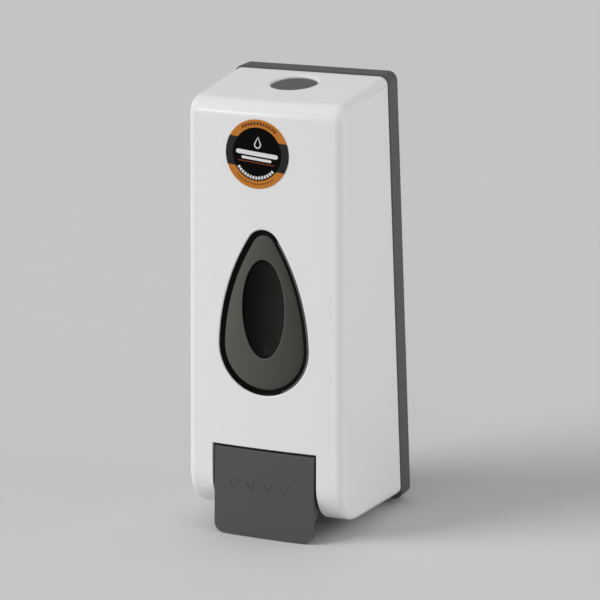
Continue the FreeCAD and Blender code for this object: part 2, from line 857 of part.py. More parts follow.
def sight_window():
    """The bevelled lens in the recess."""
    return node(teardrop("sight_window", -float(s.window_gap), dim(0), s.window_depth,
                         s.window_bevel))


def round_label(outer):
    """The thin round label, curved like the front it is stuck to."""
    radius = s.label_radius
    disc = doc.addObject("Part::Feature", "label_disc")
    disc.Shape = Part.makeCylinder(float(radius), 10, FreeCAD.Vector(float(s.label_x), 0, -5))
    disc.Placement = front_frame(s.label_z)
    ahead = doc.addObject("Part::Feature", "label_skin")
    doc.recompute()
    ahead.Shape = outer.Shape.copy()
    ahead.Placement.Base = FreeCAD.Vector(0, -float(s.label_thickness), 0)
    skin = cut("label_shell", ahead, [outer])
    return node(common("round_label", skin, disc))


def cover_hinge_pins():
    """Two short pins pressed into the plate's lugs."""
    length = s.hinge_lug_width + s.hinge_side_gap + s.hinge_pin_depth
    pins = []
    for number, side in enumerate((-1, 1), start=1):
        low = s.hinge_lug_x if side > 0 else -(s.hinge_lug_x + length)
        pins.append(rod(f"hinge_pin_{number}", "X", s.hinge_pin_radius, (low, hinge_y, hinge_z),
                        length))
    group = doc.addObject("Part::Compound", "cover_hinge_pins")
    group.Links = pins
    return node(group)


# ---------------------------------------------------------------- release button

def release_button():
    """The button cap with its flange and stem, its top sloping with the cover."""
    shoulder = flange_z + s.button_flange_thickness
    inner = s.button_radius - s.button_wall
    wide = s.button_radius + s.button_flange_width
    points = [(0, cage_inside), (s.button_stem_radius, cage_inside),
              (s.button_stem_radius, button_roof), (inner, button_roof), (inner, flange_z),
              (wide, flange_z), (wide, shoulder), (s.button_radius, shoulder),
              (s.button_radius, cover_top), (0, cover_top)]
    body = turned("button_turned", points, y=s.button_y)
    over = pad("button_over", "YZ_Plane",
               [(-FAR, top_z(-FAR) - s.button_recess), (5, top_z(5) - s.button_recess),
                (5, FAR * 2.0), (-FAR, FAR * 2.0)], -20, 20)
    cap = cut("button_cap", body, [over])
    return node(soften("release_button", cap, s.button_edge,
                       lambda edge: edge.BoundBox.ZMin > float(button_roof)
                       and edge.Length > 4.0 * float(s.button_radius)))


def button_cage():
    """The cup under the cover's top that guides the button and carries its spring."""
    boss = boss_inner + s.boss_wall
    hole = s.button_stem_radius + s.cage_stem_gap
    inner = s.cage_radius - s.cage_wall
    points = [(hole, cage_low), (s.cage_radius, cage_low),
              (s.cage_radius, cage_rim - s.cage_plate), (boss, cage_rim - s.cage_plate),
              (boss, cage_rim), (inner, cage_rim), (inner, cage_inside), (hole, cage_inside)]
    return node(turned("button_cage", points, y=s.button_y))


def button_spring():
    """The coil between the cage's floor and the button's roof."""
    return node(coil("button_spring", s.button_spring_radius, s.button_spring_wire,
                     s.button_spring_pitch, cage_inside + s.spring_end_gap,
                     button_roof - s.spring_end_gap, s.button_y))


def latch_finger():
    """The springy tongue under the cage, on a foot screwed to the plate."""
    floor = -s.plate_floor
    half = s.latch_half_width
    foot = box("latch_foot", (-2.0 * half, 2.0 * half), (floor - s.bracket_thickness, floor),
               (latch_top - s.latch_foot_below, latch_top + s.latch_foot_above))
    tongue = box("latch_tongue", (-half, half), (-s.latch_reach, floor),
                 (latch_top - s.latch_thickness, latch_top))
    hook = box("latch_hook", (-half, half), (-s.latch_reach, s.latch_hook_width - s.latch_reach),
               (latch_top - 0.5, latch_top + s.latch_hook))
    holes = [rod("latch_hole", "Y", s.screw_radius,
                 (x, floor - s.bracket_thickness - 1.0, z), s.bracket_thickness + 2.0)
             for x, z in bracket_screw_places()[4:]]
    return node(cut("latch_finger", fuse("latch_blank", [foot, tongue, hook]), holes))


# ---------------------------------------------------------------- shelf, reservoir and lid

def pump_shelf():
    """The shelf that carries the reservoir, with the ears that carry the lever."""
    floor = -s.plate_floor
    half = s.shelf_half_width
    shelf = box("shelf_slab", (-half, half), (shelf_front, floor), (shelf_bottom, shelf_top))
    flange = box("shelf_flange", (-half, half), (floor - s.bracket_thickness, floor),
                 (shelf_top - s.shelf_flange_height, shelf_top))
    pieces = [shelf, flange]
    bores = []
    for side in (-1, 1):
        ends = sorted((side * s.ear_x, side * (s.ear_x + s.ear_width)), key=float)
        points = [(pivot_y - s.ear_radius, pivot_z), (pivot_y + s.ear_radius, pivot_z),
                  (shelf_front + 14.0, shelf_bottom + 1.0), (shelf_front, shelf_bottom + 1.0)]
        pieces.append(pad(f"ear_{ends[0].value > 0}", "YZ_Plane", points, ends[0], ends[1]))
        pieces.append(rod("ear_round", "X", s.ear_radius, (ends[0], pivot_y, pivot_z), s.ear_width))
        bores.append(rod("ear_bore", "X", s.lever_pin_radius + s.running_fit,
                         (ends[0] - 1.0, pivot_y, pivot_z), s.ear_width + 2.0))
    bores.append(rod("neck_hole", "Z", s.neck_radius + s.neck_gap,
                     (0, s.pump_y, shelf_bottom - 1.0), s.shelf_thickness + 2.0))
    for x, z in bracket_screw_places()[:4]:
        bores.append(rod("flange_hole", "Y", s.screw_radius,
                         (x, floor - s.bracket_thickness - 1.0, z), s.bracket_thickness + 2.0))
    return node(cut("pump_shelf", fuse("shelf_blank", pieces), bores))


def tank_block(label, inset, low, high):
    """A block of the reservoir's plan, shrunk by inset, between two heights."""
    half = s.tank_half_width - inset
    return rounded_block(label, (-half, half), (tank_front + inset, -s.tank_back - inset),
                         (low, high), s.tank_corner - inset)


def reservoir():
    """The tank, open at the top, with its neck below."""
    outside = tank_block("tank_outside", dim(0), shelf_top, tank_top)
    inside = tank_block("tank_inside", s.tank_wall, shelf_top + s.tank_wall, tank_top + 1.0)
    neck = rod("neck", "Z", s.neck_radius, (0, s.pump_y, shelf_top - s.neck_length),
               s.neck_length + 1.0)
    bore = rod("neck_bore", "Z", s.neck_bore, (0, s.pump_y, shelf_top - s.neck_length - 1.0),
               s.neck_length + s.tank_wall + 2.0)
    return node(cut("reservoir", fuse("tank_and_neck", [outside, neck]), [inside, bore]))


def lid_seal():
    """The flat seal on the reservoir's rim."""
    top = tank_top + s.seal_thickness
    return node(cut("lid_seal", tank_block("seal_outside", dim(0), tank_top, top),
                    [tank_block("seal_inside", s.tank_wall, tank_top - 1.0, top + 1.0)]))


def reservoir_lid():
    """The lid, with a lip that drops into the reservoir's mouth."""
    low = tank_top + s.seal_thickness
    inset = s.tank_wall + s.lid_gap
    sheet_part = tank_block("lid_plate", dim(0), low, low + s.lid_thickness)
    lip = cut("lid_lip", tank_block("lip_outside", inset, tank_top - s.lid_lip_depth, low + 1.0),
              [tank_block("lip_inside", inset + s.lid_lip_wall,
                          tank_top - s.lid_lip_depth - 1.0, low)])
    return node(fuse("reservoir_lid", [sheet_part, lip]))


# ---------------------------------------------------------------- pump

neck_end = shelf_top - s.neck_length
flange_top = neck_end - s.gasket_thickness
flange_low = flange_top - s.cylinder_flange
nut_low = flange_low - s.nut_lip
cylinder_top = flange_low + s.cylinder_height
bore_top = cylinder_top - s.cylinder_head
chamber_low = bore_top + s.ball_cage_floor
chamber_top = chamber_low + s.ball_chamber_height
piston_low = flange_low + s.piston_rest
piston_top = piston_low + s.piston_height
fork_y = s.pump_y
fork_z = pivot_z - s.fork_drop
stem_flange_low = fork_z + s.fork_tip_radius + s.fork_clearance
stem_top = piston_low + s.stem_socket
stem_low = stem_top - s.stem_length


def pump_collar_nut():
    """The nut on the neck, clamping the shelf and the pump's flange."""
    points = [(s.nut_hole, nut_low), (s.nut_radius, nut_low), (s.nut_radius, shelf_bottom),
              (s.neck_radius, shelf_bottom), (s.neck_radius, flange_low),
              (s.nut_hole, flange_low)]
    return node(turned("pump_collar_nut", points, y=s.pump_y))


def neck_gasket():
    """The ring between the neck and the pump's flange."""
    return node(ring("neck_gasket", s.neck_bore, s.neck_radius, flange_top, neck_end, s.pump_y))


def pump_cylinder():
    """The pump's barrel, with the ball's chamber in its head."""
    points = [(s.cylinder_bore, flange_low), (s.neck_radius, flange_low),
              (s.neck_radius, flange_top), (s.cylinder_radius, flange_top),
              (s.cylinder_radius, cylinder_top), (s.seat_radius, cylinder_top),
              (s.seat_radius, chamber_top), (s.ball_chamber_radius, chamber_top),
              (s.ball_chamber_radius, chamber_low), (s.ball_hole, chamber_low),
              (s.ball_hole, bore_top), (s.cylinder_bore, bore_top)]
    return node(turned("pump_cylinder", points, y=s.pump_y))


def inlet_valve_seat():
    """The plug above the ball that it seals against."""
    return node(ring("inlet_valve_seat", s.ball_hole, s.seat_radius, chamber_top,
                     chamber_top + s.seat_height, s.pump_y))


def inlet_ball():
    """The check ball, just clear of its cage."""
    ball = doc.addObject("Part::Sphere", "inlet_ball")
    bind(ball, "Radius", s.ball_radius)
    rest = (s.ball_radius * s.ball_radius - s.ball_hole * s.ball_hole).root() + 0.3
    place(ball, 0, s.pump_y, chamber_low + rest)
    return node(ball)


def piston():
    """The piston, grooved for its seal, with a socket for the stem."""
    radius = s.cylinder_bore - s.piston_gap
    groove = radius - s.piston_groove_depth
    groove_low = piston_low + s.piston_groove_z
    groove_high = groove_low + s.piston_groove_height
    points = [(s.stem_radius, piston_low), (radius, piston_low), (radius, groove_low),
              (groove, groove_low), (groove, groove_high), (radius, groove_high),
              (radius, piston_top), (s.stem_bore, piston_top), (s.stem_bore, stem_top),
              (s.stem_radius, stem_top)]
    return node(turned("piston", points, y=s.pump_y))


def piston_seal():
    """The ring in the piston's groove."""
    inner = s.cylinder_bore - s.piston_gap - s.piston_groove_depth
    groove_low = piston_low + s.piston_groove_z
    return node(ring("piston_seal", inner, s.cylinder_bore - s.running_fit, groove_low,
                     groove_low + s.piston_groove_height, s.pump_y))


def pump_stem():
    """The hollow stem with the flange that the lever lifts."""
    flange_high = stem_flange_low + s.stem_flange_thickness
    points = [(s.stem_bore, stem_low), (s.stem_radius, stem_low), (s.stem_radius, stem_flange_low),
              (s.stem_flange_radius, stem_flange_low), (s.stem_flange_radius, flange_high),
              (s.stem_radius, flange_high), (s.stem_radius, stem_top), (s.stem_bore, stem_top)]
    return node(turned("pump_stem", points, y=s.pump_y))


def nozzle():
    """The outlet pushed on the stem's lower end."""
    low = (lever_low + s.nozzle_rise)
    valve_top = low + s.valve_recess + s.valve_thickness
    high = stem_low + s.nozzle_socket
    points = [(s.valve_radius, low), (s.nozzle_radius, low), (s.nozzle_radius, high),
              (s.stem_radius, high), (s.stem_radius, stem_low), (s.nozzle_bore, stem_low),
              (s.nozzle_bore, valve_top), (s.valve_radius, valve_top)]
    return node(turned("nozzle", points, y=s.pump_y))


def nozzle_valve():
    """The soft anti-drip disc in the nozzle's tip."""
    low = (lever_low + s.nozzle_rise) + s.valve_recess
    return node(ring("nozzle_valve", s.valve_slit, s.valve_radius, low, low + s.valve_thickness,
                     s.pump_y))


def pump_spring():
    """The return spring inside the barrel."""
    return node(coil("pump_spring", s.pump_spring_radius, s.pump_spring_wire,
                     s.pump_spring_pitch, piston_top + s.spring_end_gap,
                     bore_top - s.spring_end_gap, s.pump_y))


# ---------------------------------------------------------------- push lever

def lever_block(label, inset, back):
    """The lever's form, leaning out towards its foot, shrunk by inset."""
    body = new_body(label)
    sections = []
    half = lever_half - inset
    crown = s.cover_crown * 0.45
    for level, height, face in (("low", lever_low, lever_low_y),
                                ("high", lever_top, lever_top_y)):
        corner_y = face + crown + inset
        points = [(-half, corner_y), (half, corner_y), (half, back), (-half, back)]
        sections.append(outline(body, f"{label}_{level}", "XY_Plane", points, height, {0: crown}))
    loft = body.newObject("PartDesign::AdditiveLoft", f"{label}_loft")
    loft.Profile = sections[0]
    loft.Sections = [sections[1]]
    loft.Ruled = True
    body.Tip = loft
    return body


def press_marks():
    """The row of shallow arrow heads sunk in the lever's face."""
    half, rise = s.mark_width / 2.0, s.mark_height / 2.0
    middle = lever_top - s.mark_drop
    notch = middle - rise + s.mark_stroke * s.mark_height / half
    count = round(float(s.mark_count))
    heads = []
    for number in range(count):
        x = s.mark_x + s.mark_pitch * (number - (count - 1) / 2.0)
        points = [(x, middle - rise), (x + half, middle + rise),
                  (x + half - s.mark_stroke, middle + rise), (x, notch),
                  (x - half + s.mark_stroke, middle + rise), (x - half, middle + rise)]
        heads.append(pad(f"mark_{number + 1}", "XZ_Plane", points, -pivot_y, FAR))
    floor = lever_block("mark_floor", s.mark_depth, pivot_y + s.lever_cheek_reach)
    return cut("press_marks", fuse("mark_heads", heads), [floor])


def push_lever():
    """The lever: a crowned face, two cheeks on the pivot and a fork under the stem's flange."""
    blank = lever_block("lever_blank", dim(0), pivot_y + s.lever_cheek_reach)
    inner_y = lever_low_y + s.lever_wall + 0.4
    cheek_low = pivot_z - s.lever_cheek_round_drop
    trim(blank, "cheek_foot",
         [(inner_y, -FAR), (0, -FAR), (0, cheek_low), (pivot_y + s.lever_cheek_shelf, cheek_low),
          (inner_y, lever_low + s.lever_cheek_rise)], {3: -s.lever_cheek_hollow})
    round_edges(blank, "lever_foot_round", s.lever_corner,
                lambda edge: extent(edge)[0] < 0.5 and extent(edge)[2] < 0.5
                and edge.CenterOfMass.z < float(lever_low) + 1.0)
    round_edges(blank, "lever_top_rounding", s.lever_top_round,
                lambda edge: extent(edge)[0] > 40 and edge.CenterOfMass.y < float(pivot_y)
                and edge.CenterOfMass.z > float(lever_top) - 0.1)
    hollow = pad("lever_hollow", "YZ_Plane",
                 [(lever_low_y + s.lever_wall, lever_low - 1.0), (FAR, lever_low - 1.0),
                  (FAR, lever_top + 1.0), (lever_top_y + s.lever_wall, lever_top + 1.0)],
                 s.lever_cheek - lever_half, lever_half - s.lever_cheek)
    shell = cut("lever_shell", blank, [hollow, press_marks()])
    pieces = [shell]
    for side in (-1, 1):
        ends = sorted((side * s.fork_x, side * (s.fork_x + s.fork_width)), key=float)
        root = lever_top_y + s.lever_wall - 1.0
        tip = s.fork_tip_radius
        clear_y = fork_y - s.stem_flange_radius - s.fork_flat
        points = [(root - 0.6, fork_z - s.fork_root_drop), (fork_y, fork_z - tip),
                  (fork_y, fork_z + tip),
                  (clear_y, fork_z + tip), (root, pivot_z - 1.0)]
        pieces.append(pad(f"fork_{ends[0].value > 0}", "YZ_Plane", points, ends[0], ends[1]))
        pieces.append(rod("fork_tip", "X", tip, (ends[0], fork_y, fork_z), s.fork_width))
    bore = rod("lever_bore", "X", s.lever_pin_radius, (-FAR, pivot_y, pivot_z), 2.0 * FAR)
    return node(cut("push_lever", fuse("lever_parts", pieces), [bore]))


def lever_pin():
    """The lever's pivot, fixed in the cheeks."""
    half = lever_half - 0.2
    return node(rod("lever_pin", "X", s.lever_pin_radius,
                    (-half, pivot_y, pivot_z), 2.0 * half))


# ---------------------------------------------------------------- build and export

def check_document():
    """Stop if any feature failed."""
    for feature in doc.Objects:
        if "Invalid" in feature.State or "Error" in feature.State:
            raise RuntimeError(f"{feature.Label} failed: {feature.State}")


def export_nodes():
    """Check every piece and write it."""
    os.makedirs("parts", exist_ok=True)
    for feature in NODES:
        shape = feature.Shape
        if shape.isNull() or not shape.isValid():
            raise RuntimeError(f"{feature.Label} has no valid shape")
        print(f"{feature.Label:20s} solids {len(shape.Solids)} volume {shape.Volume:10.1f}")
        shape.exportStep(f"parts/{feature.Label}.step")


def main():
    """Build the dispenser."""
    back_plate()
    bracket_screws()
    latch_finger()
    outer, _ = front_cover()
    sight_window()
    round_label(outer)
    cover_hinge_pins()
    button_cage()
    release_button()
    button_spring()
    pump_shelf()
    reservoir()
    lid_seal()
    reservoir_lid()
    neck_gasket()
    pump_collar_nut()
    pump_cylinder()
    inlet_valve_seat()
    inlet_ball()
    pump_spring()
    piston()
    piston_seal()
    pump_stem()
    nozzle()
    nozzle_valve()
    push_lever()
    lever_pin()
    doc.recompute()
    check_document()
    export_nodes()


main()
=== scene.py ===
"""Looks of a wall-mounted soap dispenser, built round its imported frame.

Metres, in the frame of the part: the wall is the plane Y = 0, the front faces -Y and +Z is up.
"""

import logging
import math
from dataclasses import dataclass
from enum import Enum
from typing import Any, Sequence

import bpy
from mathutils import Matrix, Vector
from mathutils.bvhtree import BVHTree


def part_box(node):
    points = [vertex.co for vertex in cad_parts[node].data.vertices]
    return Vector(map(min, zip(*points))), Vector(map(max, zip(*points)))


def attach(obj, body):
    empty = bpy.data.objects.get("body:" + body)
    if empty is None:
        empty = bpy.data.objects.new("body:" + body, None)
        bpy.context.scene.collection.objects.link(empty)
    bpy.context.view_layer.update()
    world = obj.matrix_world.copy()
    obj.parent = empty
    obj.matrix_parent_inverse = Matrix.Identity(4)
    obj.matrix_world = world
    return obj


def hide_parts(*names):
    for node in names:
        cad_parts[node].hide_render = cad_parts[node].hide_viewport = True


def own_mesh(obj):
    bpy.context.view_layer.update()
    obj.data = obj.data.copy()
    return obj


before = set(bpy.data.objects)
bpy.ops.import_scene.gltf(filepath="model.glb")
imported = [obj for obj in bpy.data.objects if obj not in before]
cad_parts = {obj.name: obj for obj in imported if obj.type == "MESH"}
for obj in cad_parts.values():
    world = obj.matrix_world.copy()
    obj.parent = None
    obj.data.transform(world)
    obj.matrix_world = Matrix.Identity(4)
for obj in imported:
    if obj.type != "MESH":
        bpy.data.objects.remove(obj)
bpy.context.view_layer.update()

MM = 0.001
log = logging.getLogger("dispenser")

Colour = tuple[float, float, float]
Pairs = Sequence[tuple[float, float]]
Shell = tuple[list[Vector], list[tuple[int, ...]]]


# ---------------------------------------------------------------- shader helpers

class Bench:
    """A node tree with short calls for adding nodes and joining them."""

    def __init__(self, tree: bpy.types.NodeTree) -> None:
        """Work on a tree.

        Args:
            tree: The material's or group's node tree.
        """
        self.tree = tree

    def add(self, kind: str, inputs: dict[Any, Any] | None = None,
            **settings: Any) -> bpy.types.Node:
        """Add a node.

        Args:
            kind: The node's type name, without the ShaderNode prefix.
            inputs: Values or output sockets for its inputs, by name or number.
            settings: Properties of the node.

        Returns:
            The new node.
        """
        node = self.tree.nodes.new(f"ShaderNode{kind}")
        for name, value in settings.items():
            setattr(node, name, value)
        self.fill(node, inputs or {})
        return node

    def fill(self, node: bpy.types.Node, inputs: dict[Any, Any]) -> None:
        """Set or link a node's inputs.

        Args:
            node: The node.
            inputs: Values or output sockets for its inputs, by name or number.
        """
        for key, value in inputs.items():
            if isinstance(value, bpy.types.NodeSocket):
                self.tree.links.new(value, node.inputs[key])
            else:
                node.inputs[key].default_value = value

    def math(self, operation: str, first: Any, second: Any = 0.0, clamp: bool = False) -> Any:
        """Work out a value from two others.

        Args:
            operation: The Math node's operation.
            first: The first value or socket.
            second: The second value or socket.
            clamp: Whether to hold the result between 0 and 1.

        Returns:
            The socket of the result.
        """
        return self.add("Math", {0: first, 1: second}, operation=operation,
                        use_clamp=clamp).outputs[0]

    def spread(self, value: Any, low: float, high: float, to_low: Any, to_high: Any) -> Any:
        """Map a range of values onto another one.

        Args:
            value: The socket to map.
            low: The value that becomes to_low.
            high: The value that becomes to_high.
            to_low: What low becomes.
            to_high: What high becomes.

        Returns:
            The socket of the result.
        """
        node = self.add("MapRange", {"Value": value, "From Min": low, "From Max": high,
                                     "To Min": to_low, "To Max": to_high})
        return node.outputs["Result"]

    def noise(self, where: Any, scale: Any, detail: float = 2.0, rough: float = 0.5) -> Any:
        """Add a noise texture.

        Args:
            where: The socket of the coordinates.
            scale: Its scale, in features a metre.
            detail: Its number of octaves.
            rough: How strong the finer octaves are.

        Returns:
            The socket of its value, about 0.5.
        """
        node = self.add("TexNoise", {"Vector": where, "Scale": scale, "Detail": detail,
                                     "Roughness": rough})
        return node.outputs["Fac"]


class EffectGroup:
    """A shader node group with named inputs and outputs, built once."""

    name = "effect"
    inputs: dict[str, tuple[str, Any]] = {}
    outputs: dict[str, str] = {}

    @classmethod
    def tree(cls) -> bpy.types.NodeTree:
        """The group's tree, made the first time it is asked for.

        Returns:
            The node tree.
        """
        made = bpy.data.node_groups.get(cls.name)
        if made is not None:
            return made
        made = bpy.data.node_groups.new(cls.name, "ShaderNodeTree")
        for label, (kind, value) in cls.inputs.items():
            socket = made.interface.new_socket(label, in_out="INPUT", socket_type=kind)
            socket.default_value = value
        for label, kind in cls.outputs.items():
            made.interface.new_socket(label, in_out="OUTPUT", socket_type=kind)
        bench = Bench(made)
        entry = made.nodes.new("NodeGroupInput")
        results = cls.wire(bench, entry.outputs)
        leave = made.nodes.new("NodeGroupOutput")
        for label, socket in results.items():
            made.links.new(socket, leave.inputs[label])
        return made

    @classmethod
    def wire(cls, bench: Bench, given: Any) -> dict[str, Any]:
        """Make the group's nodes.

        Args:
            bench: The group's tree.
            given: The group's input sockets.

        Returns:
            The output sockets by name.
        """
        raise NotImplementedError

    @classmethod
    def place(cls, bench: Bench, values: dict[str, Any]) -> Any:
        """Put the group into a material.

        Args:
            bench: The material's tree.
            values: Values or sockets for the group's inputs.

        Returns:
            The sockets that it puts out.
        """
        node = bench.tree.nodes.new("ShaderNodeGroup")
        node.node_tree = cls.tree()
        bench.fill(node, values)
        return node.outputs


SCALAR = "NodeSocketFloat"
COLOUR = "NodeSocketColor"


class MouldedSkin(EffectGroup):
    """The skin of a moulding: a fine grain over the slow waves of shrinkage."""

    wave_scale = 55.0
    smudge_scale = 38.0

    name = "moulded_skin"
    inputs = {"Grain Size": (SCALAR, 0.0004), "Grain": (SCALAR, 0.5), "Waves": (SCALAR, 0.5),
              "Roughness": (SCALAR, 0.4), "Smudge": (SCALAR, 0.08)}
    outputs = {"Height": SCALAR, "Roughness": SCALAR}

    @classmethod
    def wire(cls, bench: Bench, given: Any) -> dict[str, Any]:
        """See EffectGroup.wire."""
        where = bench.add("TexCoord").outputs["Object"]
        grain = bench.noise(where, bench.math("DIVIDE", 1.0, given["Grain Size"]), 3.0, 0.6)
        waves = bench.noise(where, cls.wave_scale, 1.0)
        height = bench.math("ADD", bench.math("MULTIPLY", grain, given["Grain"]),
                            bench.math("MULTIPLY", waves, given["Waves"]))
        smudge = bench.noise(where, cls.smudge_scale, 4.0, 0.65)
        lift = bench.math("MULTIPLY", bench.math("SUBTRACT", smudge, 0.5), given["Smudge"])
        rough = bench.math("ADD", given["Roughness"], lift, clamp=True)
        return {"Height": height, "Roughness": rough}


class ToneDriftAndPaintedShade(EffectGroup):
    """The slight drift of tone over a moulding, with specks of dust, and a lean to one side that
    paints shade: the tone gets lighter towards one side and darker towards the other.
    """

    drift_scale = 24.0
    speck_scale = 260.0
    speck_reach = (0.06, 0.03)
    rare_scale = 90.0
    rare_range = (0.6, 0.66)

    name = "tone_drift_and_painted_shade"
    inputs = {"Color": (COLOUR, (0.5, 0.5, 0.5, 1.0)), "Drift": (SCALAR, 0.03),
              "Specks": (SCALAR, 0.02), "Painted Shade Lean": (SCALAR, 0.0)}
    outputs = {"Color": COLOUR}

    @classmethod
    def wire(cls, bench: Bench, given: Any) -> dict[str, Any]:
        """See EffectGroup.wire."""
        where = bench.add("TexCoord").outputs["Object"]
        slow = bench.noise(where, cls.drift_scale, 3.0)
        drift = bench.math("MULTIPLY", bench.math("SUBTRACT", slow, 0.5), given["Drift"])
        cells = bench.add("TexVoronoi", {"Vector": where, "Scale": cls.speck_scale},
                          feature="F1")
        speck = bench.spread(cells.outputs["Distance"], *cls.speck_reach, 0.0, 1.0)
        rare = bench.spread(bench.noise(where, cls.rare_scale, 0.0), *cls.rare_range, 0.0, 1.0)
        dust = bench.math("MULTIPLY", bench.math("MULTIPLY", speck, rare), given["Specks"])
        apart = bench.add("SeparateXYZ", {"Vector": where})
        # The lean paints shade: it darkens the tone towards one side and lightens it towards the
        # other.
        lean = bench.math("MULTIPLY", apart.outputs["X"], given["Painted Shade Lean"])
        tone = bench.math("ADD", bench.math("ADD", 1.0, drift), lean)
        value = bench.math("SUBTRACT", tone, dust)
        tinted = bench.add("HueSaturation", {"Color": given["Color"], "Value": value})
        return {"Color": tinted.outputs["Color"]}


class SmokeDepthAndPaintedShade(EffectGroup):
    """How dense the smoke of a see-through wall is, thicker towards one side as painted shade."""

    cloud_scale = 60.0
    cloud_depth = 0.03

    name = "smoke_depth_and_painted_shade"
    inputs = {"Alpha": (SCALAR, 0.5), "Painted Shade Lean": (SCALAR, 0.0)}
    outputs = {"Alpha": SCALAR}

    @classmethod
    def wire(cls, bench: Bench, given: Any) -> dict[str, Any]:
        """See EffectGroup.wire."""
        where = bench.add("TexCoord").outputs["Object"]
        apart = bench.add("SeparateXYZ", {"Vector": where})
        # The lean paints shade: denser smoke towards one side darkens that side.
        lean = bench.math("MULTIPLY", apart.outputs["X"], given["Painted Shade Lean"])
        noise = bench.math("SUBTRACT", bench.noise(where, cls.cloud_scale), 0.5)
        cloud = bench.math("MULTIPLY", noise, cls.cloud_depth)
        dense = bench.math("ADD", given["Alpha"], bench.math("ADD", lean, cloud), clamp=True)
        return {"Alpha": dense}


class DrawnLines(EffectGroup):
    """Fine lines left by turning or drawing metal, along one axis."""

    line_scales = (4000.0, 4000.0, 160.0)
    stain_scale = 300.0
    stain_depth = 0.2

    name = "drawn_lines"
    inputs = {"Color": (COLOUR, (0.6, 0.6, 0.6, 1.0)), "Roughness": (SCALAR, 0.3),
              "Depth": (SCALAR, 0.5)}
    outputs = {"Color": COLOUR, "Roughness": SCALAR, "Height": SCALAR}

    @classmethod
    def wire(cls, bench: Bench, given: Any) -> dict[str, Any]:
        """See EffectGroup.wire."""
        where = bench.add("TexCoord").outputs["Object"]
        stretched = bench.add("Mapping", {"Vector": where, "Scale": cls.line_scales})
        lines = bench.noise(stretched.outputs["Vector"], 1.0, 2.0)
        stain = bench.noise(where, cls.stain_scale, 3.0)
        value = bench.spread(bench.math("MULTIPLY", lines, stain), 0.1, 0.4, 0.85, 1.08)
        tinted = bench.add("HueSaturation", {"Color": given["Color"], "Value": value})
        lift = bench.math("MULTIPLY", bench.math("SUBTRACT", stain, 0.5), cls.stain_depth)
        rough = bench.math("ADD", given["Roughness"], lift)
        return {"Color": tinted.outputs["Color"], "Roughness": rough,
                "Height": bench.math("MULTIPLY", lines, given["Depth"])}


# ---------------------------------------------------------------- finishes

class Slot(Enum):
    """The record's material slots of the lens, the label and the spring steel."""

    LENS = "smoked_lens"
    LABEL = "printed_label"
    SPRING = "spring_steel"


@dataclass(frozen=True)
class Finish:
    """A named finish, whose material is made the first time it is asked for."""

    name: str
    colour: Colour

    def material(self) -> bpy.types.Material:
        """The finish's material.

        Returns:
            The material.
        """
        made = bpy.data.materials.get(self.name)
        if made is None:
            made = bpy.data.materials.new(self.name)
            made.use_nodes = True
            self.wire(Bench(made.node_tree), made.node_tree.nodes["Principled BSDF"])
        return made

    def wire(self, bench: Bench, shader: bpy.types.Node) -> None:
        """Make the material's nodes.

        Args:
            bench: The material's tree.
            shader: Its Principled shader.
        """
        raise NotImplementedError


@dataclass(frozen=True)
class Plastic(Finish):
    """A moulded or printed finish.

    Sizes are in metres. Alpha below 1 makes a smoked, see-through wall. The leans are how much
    denser its smoke and how much lighter its tone get for each metre to the right, which paints
    shade onto one side of the piece.
    """

    roughness: float = 0.4
    smudge: float = 0.08
    grain_size: float = 0.00045
    grain: float = 0.5
    waves: float = 0.5
    depth: float = 0.00003
    drift: float = 0.04
    specks: float = 0.04
    specular: float = 0.5
    alpha: float = 1.0
    # Both leans paint shade and light onto one side of a piece.
    smoke_lean: float = 0.0
    tone_lean: float = 0.0

    def wire(self, bench: Bench, shader: bpy.types.Node) -> None:
        """See Finish.wire."""
        skin = MouldedSkin.place(bench, {"Grain Size": self.grain_size, "Grain": self.grain,
                                         "Waves": self.waves, "Roughness": self.roughness,
                                         "Smudge": self.smudge})
        # The lean passed to the tone paints shade onto one side.
        tone = ToneDriftAndPaintedShade.place(bench, {"Color": (*self.colour, 1.0), "Drift": self.drift,
                                       "Specks": self.specks, "Painted Shade Lean": self.tone_lean})
        bump = bench.add("Bump", {"Height": skin["Height"], "Distance": self.depth})
        bench.fill(shader, {"Base Color": tone["Color"], "Roughness": skin["Roughness"],
                            "Normal": bump.outputs["Normal"],
                            "Specular IOR Level": self.specular})
        if self.alpha < 1.0:
            # The lean passed to the smoke paints shade: denser smoke on one side darkens it.
            smoke = SmokeDepthAndPaintedShade.place(bench, {"Alpha": self.alpha, "Painted Shade Lean": self.smoke_lean})
            bench.fill(shader, {"Alpha": smoke["Alpha"]})


@dataclass(frozen=True)
class Metal(Finish):
    """A drawn or turned metal finish."""

    roughness: float = 0.3
    depth: float = 0.00001

    def wire(self, bench: Bench, shader: bpy.types.Node) -> None:
        """See Finish.wire."""
        lines = DrawnLines.place(bench, {"Color": (*self.colour, 1.0),
                                         "Roughness": self.roughness})
        bump = bench.add("Bump", {"Height": lines["Height"], "Distance": self.depth})
        bench.fill(shader, {"Base Color": lines["Color"], "Roughness": lines["Roughness"],
                            "Normal": bump.outputs["Normal"], "Metallic": 1.0})


def lens(name: str, colour: Colour, **changes: float) -> Plastic:
    """A finish of the smoked window.

    Args:
        name: The finish's name.
        colour: Its colour.
        changes: What differs from the window's usual skin.

    Returns:
        The finish.
    """
    skin = {"roughness": 0.3, "smudge": 0.03, "grain": 0.1, "waves": 0.1, "depth": 0.00001,
            "drift": 0.05, "specks": 0.1}
    return Plastic(name, colour, **(skin | changes))


def ink(name: str, colour: Colour, **changes: float) -> Plastic:
    """An ink of the label.

    Args:
        name: The ink's name.
        colour: Its colour.
        changes: What differs from the label's usual skin.

    Returns:
        The finish.
    """
    skin = {"roughness": 0.38, "grain": 0.3, "waves": 0.3, "depth": 0.00001, "drift": 0.1,
            "specks": 0.12, "specular": 0.04}
    return Plastic(name, colour, **(skin | changes))


